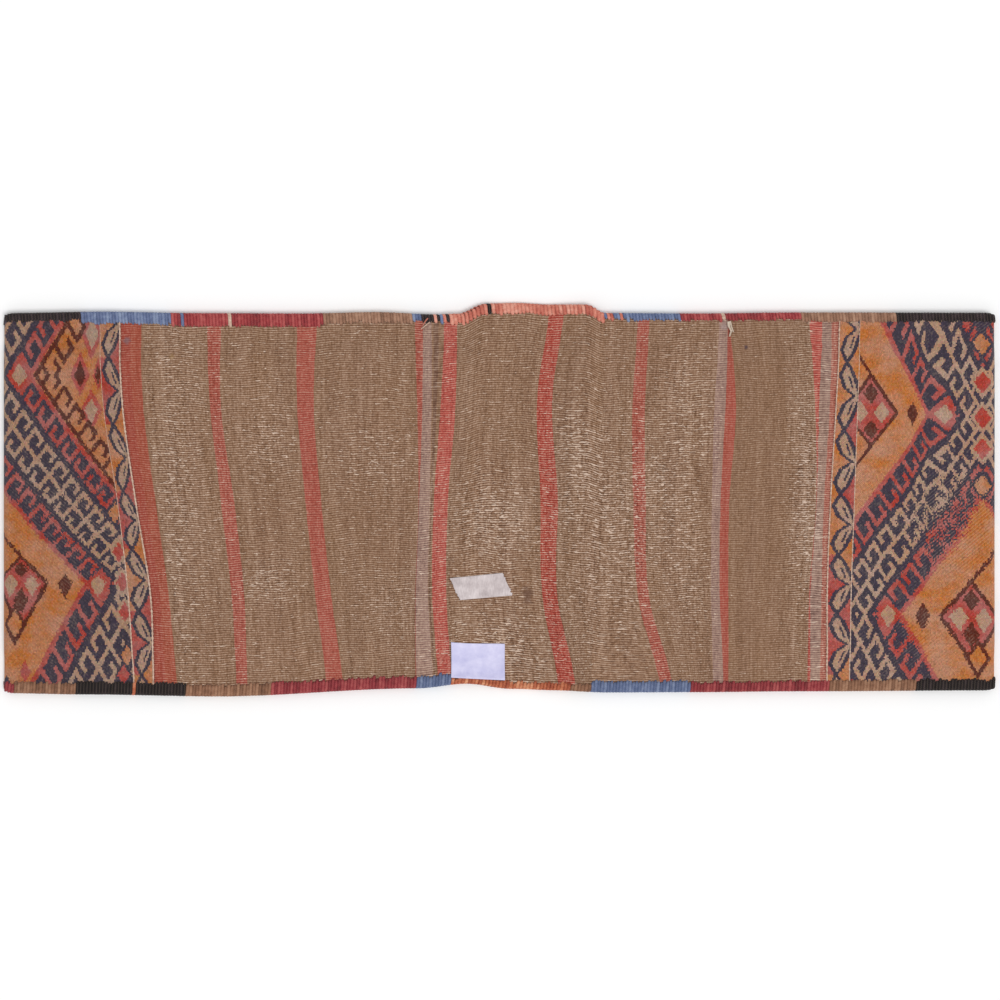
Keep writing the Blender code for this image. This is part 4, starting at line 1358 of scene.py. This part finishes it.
YARNS = {
    "white": cotton,
    "tuft": dyed_yarn("white_wool", "A8937F", "D6C4B0", "F0E4D6"),
    "black": dyed_yarn("black_wool", "100C0F", "20191D", "3A2F34"),
    "blue": dyed_yarn("blue_wool", "505F82", "66759A", "8E9CB8"),
    "dark_red": dyed_yarn("dark_red_wool", "76262D", "9E373B", "BC5F5C"),
    "brown": dyed_yarn("brown_wool", "735240", "99705A", "B89078"),
    "orange": dyed_yarn("salmon_wool", "B05548", "D27C69", "EDB09C"),
    "lower_black": dyed_yarn("worn_black_wool", "080608", "151012", "2E2528"),
    "lower_blue": dyed_yarn("worn_blue_wool", "4A5A7C", "606F92", "8693B0"),
    "lower_dark_red": dyed_yarn("worn_dark_red_wool", "6E2128", "93333A", "B25856"),
    "lower_brown": dyed_yarn("worn_brown_wool", "694836", "8C624A", "AC8267"),
    "lower_orange": dyed_yarn("orange_wool", "8E3C28", "BE6A48", "ECAE86"),
}
bindings = []
for place, sections in (("upper", UPPER_SECTIONS), ("lower", LOWER_SECTIONS)):
    for number, section in enumerate(sections, 1):
        bindings += side_binding(place, number, section, YARNS, rng)
bindings += [mouth_binding(side, YARNS, rng) for side in (-1, 1)]

threads = [
    loose_thread(name, points, thick * MM, YARNS[yarn])
    for name, thick, yarn, slot, points in (
        ("white_tuft_long", 1.9, "tuft", "woven_wool",
         ((728.5, 321.5, 0), (728.8, 326, 1.2), (731.2, 331, 1.0), (729.5, 336.5, 0))),
        ("white_tuft_short", 1.4, "tuft", "woven_wool", ((730, 321, 0), (731.2, 326, 1.8), (733.4, 332, 0.2))),
        ("salmon_yarn_end", 1.0, "orange", "binding_orange", ((428, 318, 0), (425.5, 321, 1.6), (422, 326.5, 0.2))),
        ("white_yarn_end", 0.9, "white", "woven_wool", ((430, 322, 0), (426, 325, 1.0), (421, 329, 0.2))),
    )
]

strip = tape(paper_tape())
patch = label(label_cloth())

# Ground, light and camera ------------------------------------------------------------

# The ground lies a hair under the pouch faces, so that they aren't in one plane
GROUND_GAP = 0.0002
bm = bmesh.new()
bmesh.ops.create_grid(
    bm, x_segments=1, y_segments=1, size=6.0, matrix=Matrix.Translation((0.0, 0.0, -GROUND_GAP)),
)
ground_mesh = bpy.data.meshes.new("ground")
bm.to_mesh(ground_mesh)
bm.free()
ground_mesh.materials.append(white_card())
ground = bpy.data.objects.new("ground", ground_mesh)
bpy.context.scene.collection.objects.link(ground)

# The sky lights the bag at SKY and is seen at full white
SKY = 0.70
world = bpy.data.worlds.new("studio")
bpy.context.scene.world = world
world.use_nodes = True
tree = world.node_tree
tree.nodes.clear()
path = add(tree, "LightPath")
seen = path.outputs["Is Camera Ray"]
for ray in ("Is Glossy Ray", "Is Transmission Ray"):
    seen = add(tree, "Math", {0: path.outputs[ray], 1: seen}, operation="MAXIMUM")
strength = add(tree, "Math", {0: seen, 1: 1.0 - SKY, 2: SKY}, operation="MULTIPLY_ADD")
sky = add(tree, "Background", {"Color": (1.0, 1.0, 1.0, 1.0), "Strength": strength})
add(tree, "OutputWorld", {"Surface": sky})

lamp = bpy.data.lights.new("window", "SUN")
lamp.energy = 1.15
lamp.angle = math.radians(24.0)
sun = bpy.data.objects.new("window", lamp)
sun.rotation_euler = (math.radians(20.0), math.radians(18.0), 0.0)
bpy.context.scene.collection.objects.link(sun)

# The camera looks straight down; the photo's scale is that of the bag's sides
IMAGE_SIZE = 1000.0
HEIGHT = 3.0
SIDES_HEIGHT = 0.012
lens = bpy.data.cameras.new("camera")
lens.sensor_width = 36.0
lens.lens = lens.sensor_width * (HEIGHT - SIDES_HEIGHT) / (IMAGE_SIZE * PIXEL)
lens.clip_end = 30.0
camera = bpy.data.objects.new("camera", lens)
camera.location = (*from_pixels(0.5 * IMAGE_SIZE, 0.5 * IMAGE_SIZE), HEIGHT)
bpy.context.scene.collection.objects.link(camera)
bpy.context.scene.camera = camera
bpy.context.scene.view_settings.view_transform = "Standard"
